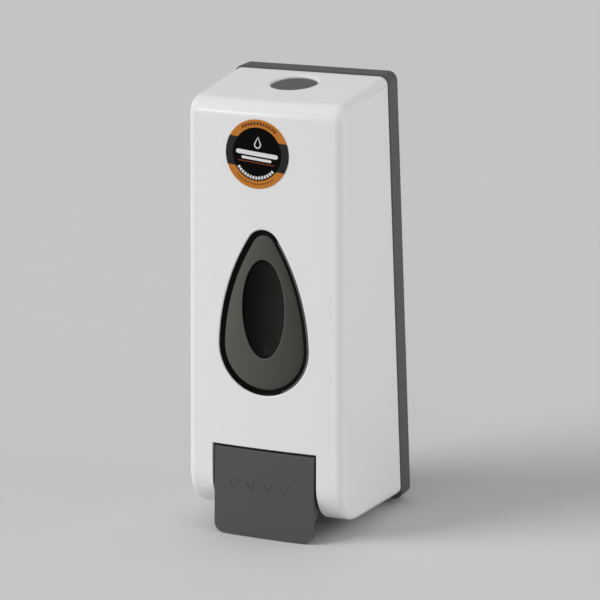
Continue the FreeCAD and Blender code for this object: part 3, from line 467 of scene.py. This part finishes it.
WHITE = Plastic("gloss_white", (0.855, 0.855, 0.863), roughness=0.24, smudge=0.02, grain=0.15,
                waves=0.05, depth=0.00001, drift=0.006, specks=0.012)
PLATE = Plastic("satin_dark_grey", (0.074, 0.076, 0.074), roughness=0.5, grain=0.9,
                drift=0.07, specks=0.12)
LEVER = Plastic("satin_lever_grey", (0.073, 0.077, 0.074), roughness=0.46, grain=0.9,
                drift=0.07, specks=0.12)
BUTTON = Plastic("satin_button_grey", (0.076, 0.078, 0.076), roughness=0.42, grain=0.7,
                 drift=0.05, specks=0.08)
# The smoked face is painted lighter on its left and darker on its right: painted shade from the
# lamp on the left.
LENS_FACE = lens("smoked_face_painted_shade", (0.086, 0.087, 0.076), specular=0.08, tone_lean=-16.0)
# The rounded edge round the oval hole is painted lighter and glossier than the face: a painted
# highlight line.
LENS_EDGE_HIGHLIGHT = lens("smoked_edge_painted_highlight", (0.13, 0.13, 0.12), roughness=0.2, specular=0.3)
# The rim's lip takes this lighter finish on its right side only: a painted highlight.
LENS_LIP_HIGHLIGHT = lens("smoked_lip_painted_highlight", (0.10, 0.10, 0.095), roughness=0.2)
LENS_RIM = lens("smoked_rim", (0.003, 0.003, 0.0025), roughness=0.16, specular=0.06)
# The bowl is painted darker on its left and lighter on its right, with denser smoke on its left:
# painted shade and light of the lamp on the left falling into the hollow.
SIGHT_BOWL = lens("smoked_bowl_painted_shade", (0.015, 0.0153, 0.0135), smudge=0.04, specular=0.05,
                  alpha=0.85, smoke_lean=-4.0, tone_lean=60.0)
TANK = Plastic("smoked_tank", (0.05, 0.052, 0.049), roughness=0.33, waves=1.2, drift=0.12)
INNER = Plastic("satin_light_grey", (0.6, 0.61, 0.62), roughness=0.42)
PUMP = Plastic("natural_white", (0.74, 0.745, 0.73), roughness=0.36, waves=0.8, drift=0.05)
LID = Plastic("satin_mid_grey", (0.19, 0.19, 0.19), roughness=0.45)
RUBBER = Plastic("soft_black", (0.03, 0.03, 0.03), roughness=0.75, grain_size=0.0009,
                 grain=1.0, depth=0.00005, drift=0.1, specks=0.2)
INK_BLACK = ink("ink_black", (0.003, 0.003, 0.003), roughness=0.36, drift=0.2, specks=0.3)
INK_AMBER = ink("ink_amber", (0.54, 0.20, 0.034))
INK_GREY = ink("ink_grey", (0.027, 0.027, 0.027))
INK_WHITE = ink("ink_white", (0.78, 0.78, 0.77), drift=0.05, specks=0.1)
INK_RUST = ink("ink_rust", (0.16, 0.05, 0.02))
STEEL = Metal("turned_steel", (0.6, 0.6, 0.61))
SPRING = Metal("drawn_wire", (0.52, 0.52, 0.53), roughness=0.24)


# ---------------------------------------------------------------- mesh helpers

SHARP_ANGLE = math.radians(32.0)


def dress(node: str, finish: Finish) -> None:
    """Give a piece of the frame its finish.

    Args:
        node: The name of the piece.
        finish: Its finish.
    """
    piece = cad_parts[node]
    piece.data.materials.clear()
    piece.data.materials.append(finish.material())
    log.info("dressed %s in %s", node, finish.name)


def new_piece(name: str, points: Sequence[Sequence[float]], faces: Sequence[Sequence[int]],
              finishes: Sequence[Finish], body: str,
              picks: Sequence[int] | None = None, smooth: bool = True) -> bpy.types.Object:
    """Make a mesh piece that rides on a body.

    Args:
        name: The piece's name.
        points: Its vertices, in metres.
        faces: Its faces, by vertex number.
        finishes: The finishes it uses.
        body: The body it rides on.
        picks: The finish's number for each face, if there are several.
        smooth: Whether its faces are shaded smooth where they turn gently.

    Returns:
        The new object.
    """
    mesh = bpy.data.meshes.new(name)
    mesh.from_pydata([tuple(point) for point in points], [], [tuple(face) for face in faces])
    for finish in finishes:
        mesh.materials.append(finish.material())
    if picks is not None:
        mesh.polygons.foreach_set("material_index", list(picks))
    mesh.validate()
    mesh.update()
    if smooth:
        mesh.shade_smooth()
        mesh.set_sharp_from_angle(angle=SHARP_ANGLE)
    piece = bpy.data.objects.new(name, mesh)
    bpy.context.collection.objects.link(piece)
    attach(piece, body)
    log.info("built %s: %d faces, on %s", name, len(mesh.polygons), body)
    return piece


def skin_rings(rings: int, count: int, closed_end: bool = True) -> list[tuple[int, ...]]:
    """The faces between rings of points, each ring joined to the next one.

    Args:
        rings: How many rings there are.
        count: How many points a ring has.
        closed_end: Whether the last ring joins the first one.

    Returns:
        The faces.
    """
    faces = []
    for ring in range(rings if closed_end else rings - 1):
        after = (ring + 1) % rings
        for index in range(count):
            beside = (index + 1) % count
            faces.append((ring * count + index, after * count + index,
                          after * count + beside, ring * count + beside))
    return faces


class Front:
    """The cover's front surface, measured by rays from ahead of it."""

    ahead = -0.2

    def __init__(self) -> None:
        """Read the cover's mesh."""
        self.tree = BVHTree.FromObject(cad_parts["front_cover"],
                                       bpy.context.evaluated_depsgraph_get())

    def at(self, x: float, z: float) -> Vector:
        """The point of the front at a place.

        Args:
            x: How far to the right it is.
            z: How high it is.

        Returns:
            The point.
        """
        return self.tree.ray_cast(Vector((x, self.ahead, z)), Vector((0.0, 1.0, 0.0)))[0]


# ---------------------------------------------------------------- sight window

@dataclass
class SightWindow:
    """The teardrop window: a dark rim round a smoked face with a bowl in its oval hole."""

    low_z: float = -14.5 * MM
    high_z: float = 32.4 * MM
    low_radius: float = 22.9 * MM
    high_radius: float = 8.4 * MM
    side_radius: float = 100.0 * MM
    recess: float = 2.8 * MM
    gap: float = 0.1 * MM
    margin: float = 6.0 * MM
    crown: float = 1.7 * MM
    half_width: float = 41.0 * MM
    rim_width: float = 2.6 * MM
    face_depth: float = 1.25 * MM
    bevel: float = 0.35 * MM
    bulge: float = 1.0 * MM
    hole: tuple[float, float] = (10.9 * MM, 23.4 * MM)
    hole_z: float = 3.5 * MM
    steps: int = 160

    def frame(self, front: Front) -> Matrix:
        """The plane of the window, level with the front at mid width.

        Args:
            front: The cover's front.

        Returns:
            The matrix from the window's plane to the part's frame.
        """
        below = front.at(0.0, self.low_z - self.low_radius - self.margin)
        above = front.at(0.0, self.high_z + self.high_radius + self.margin)
        up = (above - below).normalized()
        across = Vector((1.0, 0.0, 0.0))
        out = across.cross(up)
        start = below + up * ((self.low_z - below.z) / up.z)
        turn = Matrix((across, up, out)).transposed().to_4x4()
        return Matrix.Translation(start) @ turn

    def outline(self, grow: float) -> list[tuple[float, float]]:
        """The teardrop in its own plane, grown outwards.

        Args:
            grow: How far it is grown.

        Returns:
            Its points, anticlockwise from the foot.
        """
        gap = self.high_z - self.low_z
        low_arm, high_arm = self.side_radius - self.low_radius, self.side_radius - self.high_radius
        rise = (low_arm ** 2 - high_arm ** 2 + gap ** 2) / (2.0 * gap)
        reach = math.sqrt(low_arm ** 2 - rise ** 2)
        low_turn = math.atan2(-rise, reach)
        high_turn = math.atan2(gap - rise, reach)
        arcs = (((0.0, 0.0), self.low_radius, -math.pi / 2.0, low_turn),
                ((-reach, rise), self.side_radius, low_turn, high_turn),
                ((0.0, gap), self.high_radius, high_turn, math.pi / 2.0))
        lengths = [radius * (last - first) for _, radius, first, last in arcs]
        total = sum(lengths)
        half = self.steps // 2
        right = []
        for index in range(half + 1):
            along = total * index / half
            for (centre, radius, first, last), length in zip(arcs, lengths):
                if along <= length + 1e-9:
                    break
                along -= length
            turn = first + (last - first) * min(1.0, along / length)
            right.append((centre[0] + (radius + grow) * math.cos(turn),
                          centre[1] + (radius + grow) * math.sin(turn)))
        return right + [(-x, y) for x, y in reversed(right[1:-1])]

    def sag(self, x: float) -> float:
        """How far the crowned front falls back.

        Args:
            x: How far from mid width.

        Returns:
            The distance it falls back.
        """
        return self.crown * (x / self.half_width) ** 2

    def loops(self, profile: Pairs, plane: Matrix) -> list[Vector]:
        """Rings of points round the teardrop.

        Args:
            profile: For each ring how far it is grown and how deep it lies.
            plane: The window's plane.

        Returns:
            The points, ring by ring.
        """
        points = []
        for grow, depth in profile:
            for x, y in self.outline(grow):
                drop = depth + self.sag(x) * max(0.0, 1.0 - depth / self.recess)
                points.append(plane @ Vector((x, y, -drop)))
        return points

    def build(self, front: Front) -> None:
        """Make the rim, the face and the bowl. The rim's lip is painted lighter on its right side,
        a painted highlight where the light catches it.

        Args:
            front: The cover's front.
        """
        plane = self.frame(front)
        wall = -self.gap
        floor = self.recess - 0.02 * MM
        inner = wall - self.rim_width
        rim = [(wall, floor), (wall, 0.75 * MM), (wall - 0.12 * MM, 0.5 * MM),
               (wall - 0.4 * MM, 0.38 * MM), (wall - 0.75 * MM, 0.42 * MM),
               (wall - 1.2 * MM, 0.7 * MM), (wall - 1.7 * MM, 1.05 * MM),
               (wall - 2.2 * MM, 1.3 * MM), (inner + 0.12 * MM, 1.42 * MM), (inner, 1.6 * MM),
               (inner, floor)]
        # The lip's steps on the right side get the lighter finish: a painted highlight.
        lit = range(self.steps // 20, self.steps * 9 // 20)
        picks = [1 if 1 <= ring <= 3 and step in lit else 0 for ring in range(len(rim))
                 for step in range(self.steps)]
        piece = new_piece("window_rim", self.loops(rim, plane),
                          skin_rings(len(rim), self.steps), [LENS_RIM, LENS_LIP_HIGHLIGHT], "cover",
                          picks)
        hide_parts("sight_window")
        self.face(plane, inner - 0.06 * MM, floor)
        self.bowl(plane)

    def oval(self, turn: float, grow: float) -> tuple[float, float]:
        """A point of the oval hole in the window's plane.

        Args:
            turn: The direction of the point from the hole's centre.
            grow: How far the hole is grown.

        Returns:
            The point.
        """
        reach, rise = self.hole[0] + grow, self.hole[1] + grow
        far = reach * rise / math.hypot(rise * math.cos(turn), reach * math.sin(turn))
        return far * math.cos(turn), self.hole_z - self.low_z + far * math.sin(turn)

    def face(self, plane: Matrix, edge: float, floor: float) -> None:
        """Make the domed face between the rim and the oval hole, with a painted highlight on its
        edge round the hole.

        Args:
            plane: The window's plane.
            edge: How far the face's edge is grown from the teardrop's outline.
            floor: How deep the recess is.
        """
        top = self.face_depth
        middle = self.hole_z - self.low_z
        outside = self.outline(edge - self.bevel)
        turns = [math.atan2(y - middle, x) for x, y in outside]
        inside = [self.oval(turn, self.bevel) for turn in turns]
        loops = [(self.outline(edge), floor), (self.outline(edge), top + 0.2 * MM)]
        rises = 6
        for step in range(rises + 1):
            share = step / rises
            loop = [(far[0] + (near[0] - far[0]) * share, far[1] + (near[1] - far[1]) * share)
                    for far, near in zip(outside, inside)]
            loops.append((loop, top - self.bulge * (1.0 - (1.0 - share) ** 2)))
        crest = top - self.bulge
        for grow, depth in ((0.16 * MM, crest + 0.05 * MM), (0.04 * MM, crest + 0.17 * MM),
                            (0.0, crest + 0.35 * MM), (0.0, floor)):
            loops.append(([self.oval(turn, grow) for turn in turns], depth))
        points = [plane @ Vector((x, y, -depth)) for loop, depth in loops for x, y in loop]
        rings = len(loops)
        # The rounded edge into the oval hole takes the lighter finish, a painted highlight line
        # round the hole.
        picks = [1 if rings - 5 <= ring <= rings - 3 else 0 for ring in range(rings)
                 for _ in range(self.steps)]
        new_piece("window_face", points, skin_rings(rings, self.steps), [LENS_FACE, LENS_EDGE_HIGHLIGHT],
                  "cover", picks)

    def bowl(self, plane: Matrix) -> None:
        """Make the smoked oval bowl in the hole of the face.

        Args:
            plane: The window's plane.
        """
        middle = self.hole_z - self.low_z
        wall = 0.7 * MM
        inside = [(0.985, 0.85 * MM), (0.975, 1.5 * MM), (0.95, 2.3 * MM), (0.88, 3.0 * MM),
                  (0.75, 3.6 * MM), (0.55, 4.15 * MM), (0.33, 4.45 * MM), (0.1, 4.55 * MM)]
        outside = [(share, depth + wall) for share, depth in reversed(inside)]
        points = []
        for share, depth in inside + outside:
            for index in range(self.steps):
                turn = 2.0 * math.pi * index / self.steps
                points.append(plane @ Vector((self.hole[0] * share * math.cos(turn),
                                              middle + self.hole[1] * share * math.sin(turn),
                                              -depth)))
        last = (len(inside) - 1) * self.steps
        faces = [face for face in skin_rings(2 * len(inside), self.steps)
                 if not last <= face[0] < last + self.steps]
        faces.append(tuple(last + index for index in range(self.steps)))
        faces.append(tuple(last + self.steps + index for index in reversed(range(self.steps))))
        new_piece("sight_bowl", points, faces, [SIGHT_BOWL], "cover")


# ---------------------------------------------------------------- round label

@dataclass
class RoundLabel:
    """The printed label: a black disc in a ring of amber and grey, with plain marks."""

    radius: float = 15.9 * MM
    disc_share: float = 0.77
    side_turn: float = math.radians(26.25)
    side_half: float = 6.7 * MM
    thickness: float = 0.2 * MM
    sink: float = 0.01 * MM
    relief: float = 0.025 * MM
    tilt: float = math.radians(-5.2)
    steps: int = 144

    def __post_init__(self) -> None:
        """Take the label's centre from the frame."""
        low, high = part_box("round_label")
        self.centre = ((low.x + high.x) / 2.0, (low.z + high.z) / 2.0)

    def point(self, front: Front, radius: float, turn: float, lift: float) -> Vector:
        """A point of the label.

        Args:
            front: The cover's front.
            radius: How far it is from the label's centre.
            turn: Its angle, anticlockwise from the right.
            lift: How far it stands off the cover.

        Returns:
            The point.
        """
        return self.spot(front, radius * math.cos(turn), radius * math.sin(turn), lift)

    def spot(self, front: Front, across: float, up: float, lift: float) -> Vector:
        """A point of the label.

        Args:
            front: The cover's front.
            across: How far along the label's own level line it is.
            up: How far above that line it is.
            lift: How far it stands off the cover.

        Returns:
            The point.
        """
        x = self.centre[0] + across * math.cos(self.tilt) - up * math.sin(self.tilt)
        z = self.centre[1] + across * math.sin(self.tilt) + up * math.cos(self.tilt)
        return front.at(x, z) - Vector((0.0, lift, 0.0))

    def warped(self, turn: float, radius: float) -> float:
        """The angle of a vertex, moved so that the inks meet along level lines.

        Args:
            turn: The angle it would have if the inks met along the ring's radii.
            radius: How far it is from the label's centre.

        Returns:
            The angle it gets.
        """
        quarter = math.pi / 2.0
        sector, share = divmod(turn, quarter)
        start = share if sector % 2 == 0 else quarter - share
        limit = math.asin(min(1.0, self.side_half / max(radius, 1.2 * self.side_half)))
        if start <= self.side_turn:
            moved = start * limit / self.side_turn
        else:
            moved = quarter - (quarter - start) * (quarter - limit) / (quarter - self.side_turn)
        return sector * quarter + (moved if sector % 2 == 0 else quarter - moved)

    def ring_finish(self, turn: float) -> int:
        """The number of the ring's ink at an angle.

        Args:
            turn: The angle.

        Returns:
            1 for amber, 2 for grey.
        """
        side = abs(math.sin(turn)) < math.sin(self.side_turn)
        return 2 if side else 1

    def build(self, front: Front) -> None:
        """Make the label and its marks.

        Args:
            front: The cover's front.
        """
        disc = self.radius * self.disc_share
        radii = [self.radius, self.radius, self.radius - 0.08 * MM, 0.92 * self.radius,
                 disc + 0.01 * MM, disc, 0.6 * self.radius, 0.4 * self.radius,
                 0.2 * self.radius]
        lifts = [self.sink, self.thickness - 0.06 * MM] + [self.thickness] * 7
        turns = [2.0 * math.pi * (index + 0.5) / self.steps for index in range(self.steps)]
        points = [self.point(front, radius, self.warped(turn, radius), lift)
                  for radius, lift in zip(radii, lifts) for turn in turns]
        faces = skin_rings(len(radii), self.steps, closed_end=False)
        picks = []
        for ring in range(len(radii) - 1):
            for index in range(self.steps):
                middle = 2.0 * math.pi * (index + 1) / self.steps
                picks.append(0 if ring >= 4 else self.ring_finish(middle))
        last = (len(radii) - 1) * self.steps
        points.append(self.point(front, 0.0, 0.0, self.thickness))
        faces += [(last + index, len(points) - 1, last + (index + 1) % self.steps)
                  for index in range(self.steps)]
        picks += [0] * self.steps
        points.append(self.point(front, 0.0, 0.0, self.sink))
        faces += [(index, (index + 1) % self.steps, len(points) - 1)
                  for index in range(self.steps)]
        picks += [0] * self.steps
        piece = new_piece("label_print", points, faces, [INK_BLACK, INK_AMBER, INK_GREY],
                          "cover", picks)
        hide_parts("round_label")
        self.marks(front)

    def band(self, front: Front, inner: float, outer: float, first: float,
             last: float) -> Shell:
        """A thin curved band lying on the label.

        Args:
            front: The cover's front.
            inner: Its inner radius.
            outer: Its outer radius.
            first: The angle it starts at.
            last: The angle it ends at.

        Returns:
            Its points and faces.
        """
        pieces = max(2, int(abs(last - first) / math.radians(3.0)))
        low, high = self.thickness - self.sink, self.thickness + self.relief
        points = []
        for index in range(pieces + 1):
            turn = first + (last - first) * index / pieces
            for radius, lift in ((inner, low), (outer, low), (outer, high), (inner, high)):
                points.append(self.point(front, radius, turn, lift))
        faces = [(0, 3, 2, 1), tuple(4 * pieces + corner for corner in range(4))]
        for index in range(pieces):
            for corner in range(4):
                beside = (corner + 1) % 4
                faces.append((4 * index + corner, 4 * index + beside,
                              4 * index + 4 + beside, 4 * index + 4 + corner))
        return points, faces

    def bar(self, front: Front, left: float, right: float, low: float, high: float) -> Shell:
        """A thin straight bar lying on the label, with rounded ends.

        Args:
            front: The cover's front.
            left: Its left end, from the label's centre.
            right: Its right end.
            low: Its lower edge.
            high: Its upper edge.

        Returns:
            Its points and faces.
        """
        half, middle = (high - low) / 2.0, (high + low) / 2.0
        ends = (left + half, right - half)
        quarter = [math.radians(15.0 * step) for step in range(7)]
        across = [left + half * (1.0 - math.cos(turn)) for turn in quarter[:-1]]
        across += [ends[0] + (ends[1] - ends[0]) * step / 16.0 for step in range(17)]
        across += [right - half * (1.0 - math.sin(turn)) for turn in quarter[1:]]
        columns = []
        for x in across:
            past = max(ends[0] - x, x - ends[1], 0.0)
            rise = math.sqrt(max(half ** 2 - past ** 2, (0.02 * half) ** 2))
            columns.append((x, middle - rise, middle + rise))
        return self.strip(front, columns)

    def strip(self, front: Front, columns: Sequence[tuple[float, float, float]]) -> Shell:
        """A thin mark lying on the label, made of narrow upright columns.

        Args:
            front: The cover's front.
            columns: For each column its place, its low end and its high end.

        Returns:
            Its points and faces.
        """
        points = []
        for x, low, high in columns:
            for z, lift in ((low, -self.sink), (high, -self.sink), (high, self.relief),
                            (low, self.relief)):
                points.append(self.spot(front, x, z, self.thickness + lift))
        last = 4 * (len(columns) - 1)
        faces = [(0, 1, 2, 3), (last + 3, last + 2, last + 1, last)]
        for index in range(len(columns) - 1):
            for corner in range(4):
                beside = (corner + 1) % 4
                faces.append((4 * index + corner, 4 * index + 4 + corner,
                              4 * index + 4 + beside, 4 * index + beside))
        return points, faces

    def flat(self, front: Front, outline: Pairs) -> Shell:
        """A thin flat mark lying on the label.

        Args:
            front: The cover's front.
            outline: Its outline from the label's centre, anticlockwise.

        Returns:
            Its points and faces.
        """
        count = len(outline)
        points = []
        for lift in (self.thickness - self.sink, self.thickness + self.relief):
            for x, z in outline:
                points.append(self.spot(front, x, z, lift))
        faces = [tuple(range(count)), tuple(reversed(range(count, 2 * count)))]
        faces += [(index, count + index, count + (index + 1) % count, (index + 1) % count)
                  for index in range(count)]
        return points, faces

    def droplet(self, grow: float) -> list[tuple[float, float]]:
        """The outline of a small droplet above the middle.

        Args:
            grow: How far it is grown.

        Returns:
            Its points from the label's centre.
        """
        full_radius, middle, steps = 1.75 * MM, 4.35 * MM, 24
        radius, height = full_radius + grow, 5.6 * MM + 1.9 * grow
        lean = math.acos(radius / (height - radius))
        outline = []
        for step in range(steps + 1):
            turn = math.pi / 2.0 - lean - (2.0 * math.pi - 2.0 * lean) * step / steps
            outline.append((radius * math.cos(turn), middle + radius * math.sin(turn)))
        outline.append((0.0, middle - radius + height))
        return list(reversed(outline))

    def marks(self, front: Front) -> None:
        """Lay the droplet, the bars and the dashes on the label.

        Args:
            front: The cover's front.
        """
        outer, inner = self.droplet(0.0), self.droplet(-0.55 * MM)
        self.lay("label_droplet", [self.flat(front, outer)], INK_WHITE)
        raised = RoundLabel(thickness=self.thickness + 0.012 * MM)
        raised.lay("label_droplet_core", [raised.flat(front, inner)], INK_BLACK)
        self.lay("label_bars", [self.bar(front, -10.6 * MM, 10.6 * MM, -0.9 * MM, 1.1 * MM),
                                self.bar(front, -7.6 * MM, 7.6 * MM, -2.9 * MM, -1.7 * MM)],
                 INK_WHITE)
        self.lay("label_thin_bar", [self.bar(front, -9.2 * MM, 9.2 * MM, -4.2 * MM, -3.7 * MM)],
                 INK_RUST)
        lower = self.dashes(front, 0.645, 0.73, 216.0, 324.0, 14)
        self.lay("label_low_dashes", lower, INK_WHITE)
        upper = self.dashes(front, 0.84, 0.93, 52.0, 128.0, 12)
        foot = self.dashes(front, 0.85, 0.885, 228.0, 312.0, 16)
        self.lay("label_ring_dashes", upper + foot, INK_RUST)

    def dashes(self, front: Front, inner: float, outer: float, first: float, last: float,
               count: int) -> list[Shell]:
        """A curved row of dashes.

        Args:
            front: The cover's front.
            inner: Their inner radius, as a share of the label's.
            outer: Their outer radius, as a share of the label's.
            first: The angle of the row's start, in degrees.
            last: The angle of its end.
            count: How many dashes there are.

        Returns:
            The points and faces of each dash.
        """
        pitch = math.radians(last - first) / count
        start = math.radians(first)
        return [self.band(front, inner * self.radius, outer * self.radius,
                          start + pitch * (index + 0.16), start + pitch * (index + 0.84))
                for index in range(count)]

    def lay(self, name: str, parts: Sequence[Shell], finish: Finish) -> None:
        """Join marks into one piece.

        Args:
            name: The piece's name.
            parts: The points and faces of each mark.
            finish: The ink it is printed in.
        """
        points: list[Vector] = []
        faces: list[tuple[int, ...]] = []
        for part_points, part_faces in parts:
            start = len(points)
            points += part_points
            faces += [tuple(start + corner for corner in face) for face in part_faces]
        new_piece(name, points, faces, [finish], "cover", smooth=False)


# ---------------------------------------------------------------- sub-assemblies

@dataclass(frozen=True)
class Coil:
    """A coil spring, copied from its piece of the frame onto a body."""

    node: str
    body: str
    joint: str

    def build(self) -> None:
        """Copy the coil's turns into a piece of their own and hide the frame's piece."""
        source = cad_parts[self.node]
        piece = new_piece(f"{self.node}_coil", [vertex.co for vertex in source.data.vertices],
                          [tuple(face.vertices) for face in source.data.polygons], [SPRING],
                          self.body)
        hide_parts(self.node)
        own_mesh(piece)


@dataclass(frozen=True)
class Assembly:
    """Pieces of the frame that only need a finish, and the springs that work with them."""

    name: str
    finishes: tuple[tuple[str, Finish], ...]
    coils: tuple[Coil, ...] = ()

    def build(self) -> None:
        """Dress the pieces and make the springs."""
        for node, finish in self.finishes:
            dress(node, finish)
        for coil in self.coils:
            coil.build()
        log.info("finished the %s", self.name)


ASSEMBLIES = (
    Assembly("housing",
             finishes=(("front_cover", WHITE), ("back_plate", PLATE), ("push_lever", LEVER),
                       ("lever_pin", STEEL), ("cover_hinge_pins", STEEL),
                       ("bracket_screws", STEEL))),
    Assembly("release",
             finishes=(("release_button", BUTTON), ("button_cage", INNER),
                       ("latch_finger", SPRING)),
             coils=(Coil("button_spring", "cover", "button_press"),)),
    Assembly("tank",
             finishes=(("pump_shelf", PLATE), ("reservoir", TANK), ("reservoir_lid", LID),
                       ("lid_seal", RUBBER))),
    Assembly("pump",
             finishes=(("pump_collar_nut", INNER), ("neck_gasket", RUBBER),
                       ("pump_cylinder", PUMP), ("inlet_valve_seat", PUMP),
                       ("inlet_ball", STEEL), ("piston", PUMP), ("piston_seal", RUBBER),
                       ("pump_stem", PUMP), ("nozzle", INNER), ("nozzle_valve", RUBBER)),
             coils=(Coil("pump_spring", "wall_plate", "stem_slide"),)),
)


# ---------------------------------------------------------------- studio

@dataclass(frozen=True)
class Lamp:
    """A lamp that faces the dispenser."""

    name: str
    place: tuple[float, float, float]
    power: float

    def hang(self, kind: str) -> bpy.types.Object:
        """Hang the lamp.

        Args:
            kind: Its type of light.

        Returns:
            The lamp's object.
        """
        light = bpy.data.lights.new(self.name, kind)
        light.energy = self.power
        holder = bpy.data.objects.new(self.name, light)
        holder.location = self.place
        holder.rotation_euler = Vector(self.place).to_track_quat("Z", "Y").to_euler()
        bpy.context.collection.objects.link(holder)
        return holder


@dataclass(frozen=True)
class SoftLamp(Lamp):
    """A wide, far lamp that lights everything evenly from one side."""

    spread: float
    mirrored: bool = True

    def build(self) -> None:
        """Hang the lamp, seen in gloss or not."""
        holder = self.hang("SUN")
        holder.data.angle = math.radians(self.spread)
        holder.visible_glossy = self.mirrored


@dataclass(frozen=True)
class GlossPanel(Lamp):
    """A lit panel that is only seen mirrored in glossy surfaces."""

    width: float
    height: float

    def build(self) -> None:
        """Stand the panel up."""
        holder = self.hang("AREA")
        holder.data.shape = "RECTANGLE"
        holder.data.size, holder.data.size_y = self.width, self.height
        holder.visible_diffuse = False


@dataclass
class Studio:
    """The camera, the lamps and the pale floor."""

    floor_z: float = -0.1061
    floor_reach: float = 9.0
    floor_colour: Colour = (0.70, 0.70, 0.70)
    sky: float = 0.41
    lamps: tuple[SoftLamp | GlossPanel, ...] = (
        SoftLamp("key", (-0.66, -0.48, 0.57), 1.58, 32.0, mirrored=False),
        SoftLamp("fill", (0.93, 0.02, 0.18), 1.07, 70.0),
        SoftLamp("low_left", (-0.95, -0.30, 0.05), 0.62, 50.0, mirrored=False),
        GlossPanel("left_panel", (-0.88, -1.42, 0.66), 3.4, 0.42, 0.35),
    )
    camera_place: tuple[float, float, float] = (0.54472, -1.16955, 0.36559)
    camera_right: tuple[float, float, float] = (0.90548, 0.42354, -0.02668)
    camera_up: tuple[float, float, float] = (-0.09535, 0.26431, 0.95971)
    camera_ahead: tuple[float, float, float] = (-0.41353, 0.86646, -0.27971)
    camera_lens: float = 167.5

    def build(self) -> None:
        """Set the studio up."""
        bpy.context.scene.view_settings.view_transform = "Standard"
        self.build_camera()
        self.build_floor()
        self.build_sky()
        for lamp in self.lamps:
            lamp.build()

    def build_camera(self) -> None:
        """Stand the camera in front, to the right and a little above."""
        data = bpy.data.cameras.new("camera")
        data.sensor_width = 36.0
        data.lens = self.camera_lens
        data.clip_start = 0.01
        data.clip_end = 50.0
        holder = bpy.data.objects.new("camera", data)
        turn = Matrix((self.camera_right, self.camera_up,
                       [-value for value in self.camera_ahead])).transposed()
        holder.matrix_world = Matrix.Translation(self.camera_place) @ turn.to_4x4()
        bpy.context.collection.objects.link(holder)
        bpy.context.scene.camera = holder

    def build_floor(self) -> None:
        """Lay the wide pale floor."""
        reach = self.floor_reach
        mesh = bpy.data.meshes.new("floor")
        corners = ((-reach, -reach), (reach, -reach), (reach, reach), (-reach, reach))
        mesh.from_pydata([(x, y, self.floor_z) for x, y in corners], [], [(0, 1, 2, 3)])
        paper = Plastic("paper", self.floor_colour, roughness=0.6, grain_size=0.0012,
                        drift=0.01, specks=0.0, specular=0.1)
        mesh.materials.append(paper.material())
        floor = bpy.data.objects.new("floor", mesh)
        bpy.context.collection.objects.link(floor)

    def build_sky(self) -> None:
        """Fill the studio with even light."""
        world = bpy.data.worlds.new("studio")
        world.use_nodes = True
        back = world.node_tree.nodes["Background"]
        back.inputs["Color"].default_value = (1.0, 1.0, 1.0, 1.0)
        back.inputs["Strength"].default_value = self.sky
        bpy.context.scene.world = world


def main() -> None:
    """Build the dispenser's looks."""
    logging.basicConfig(level=logging.INFO, format="%(message)s")
    front = Front()
    for assembly in ASSEMBLIES:
        assembly.build()
    SightWindow().build(front)
    RoundLabel().build(front)
    Studio().build()


if __name__ == "__main__":
    main()
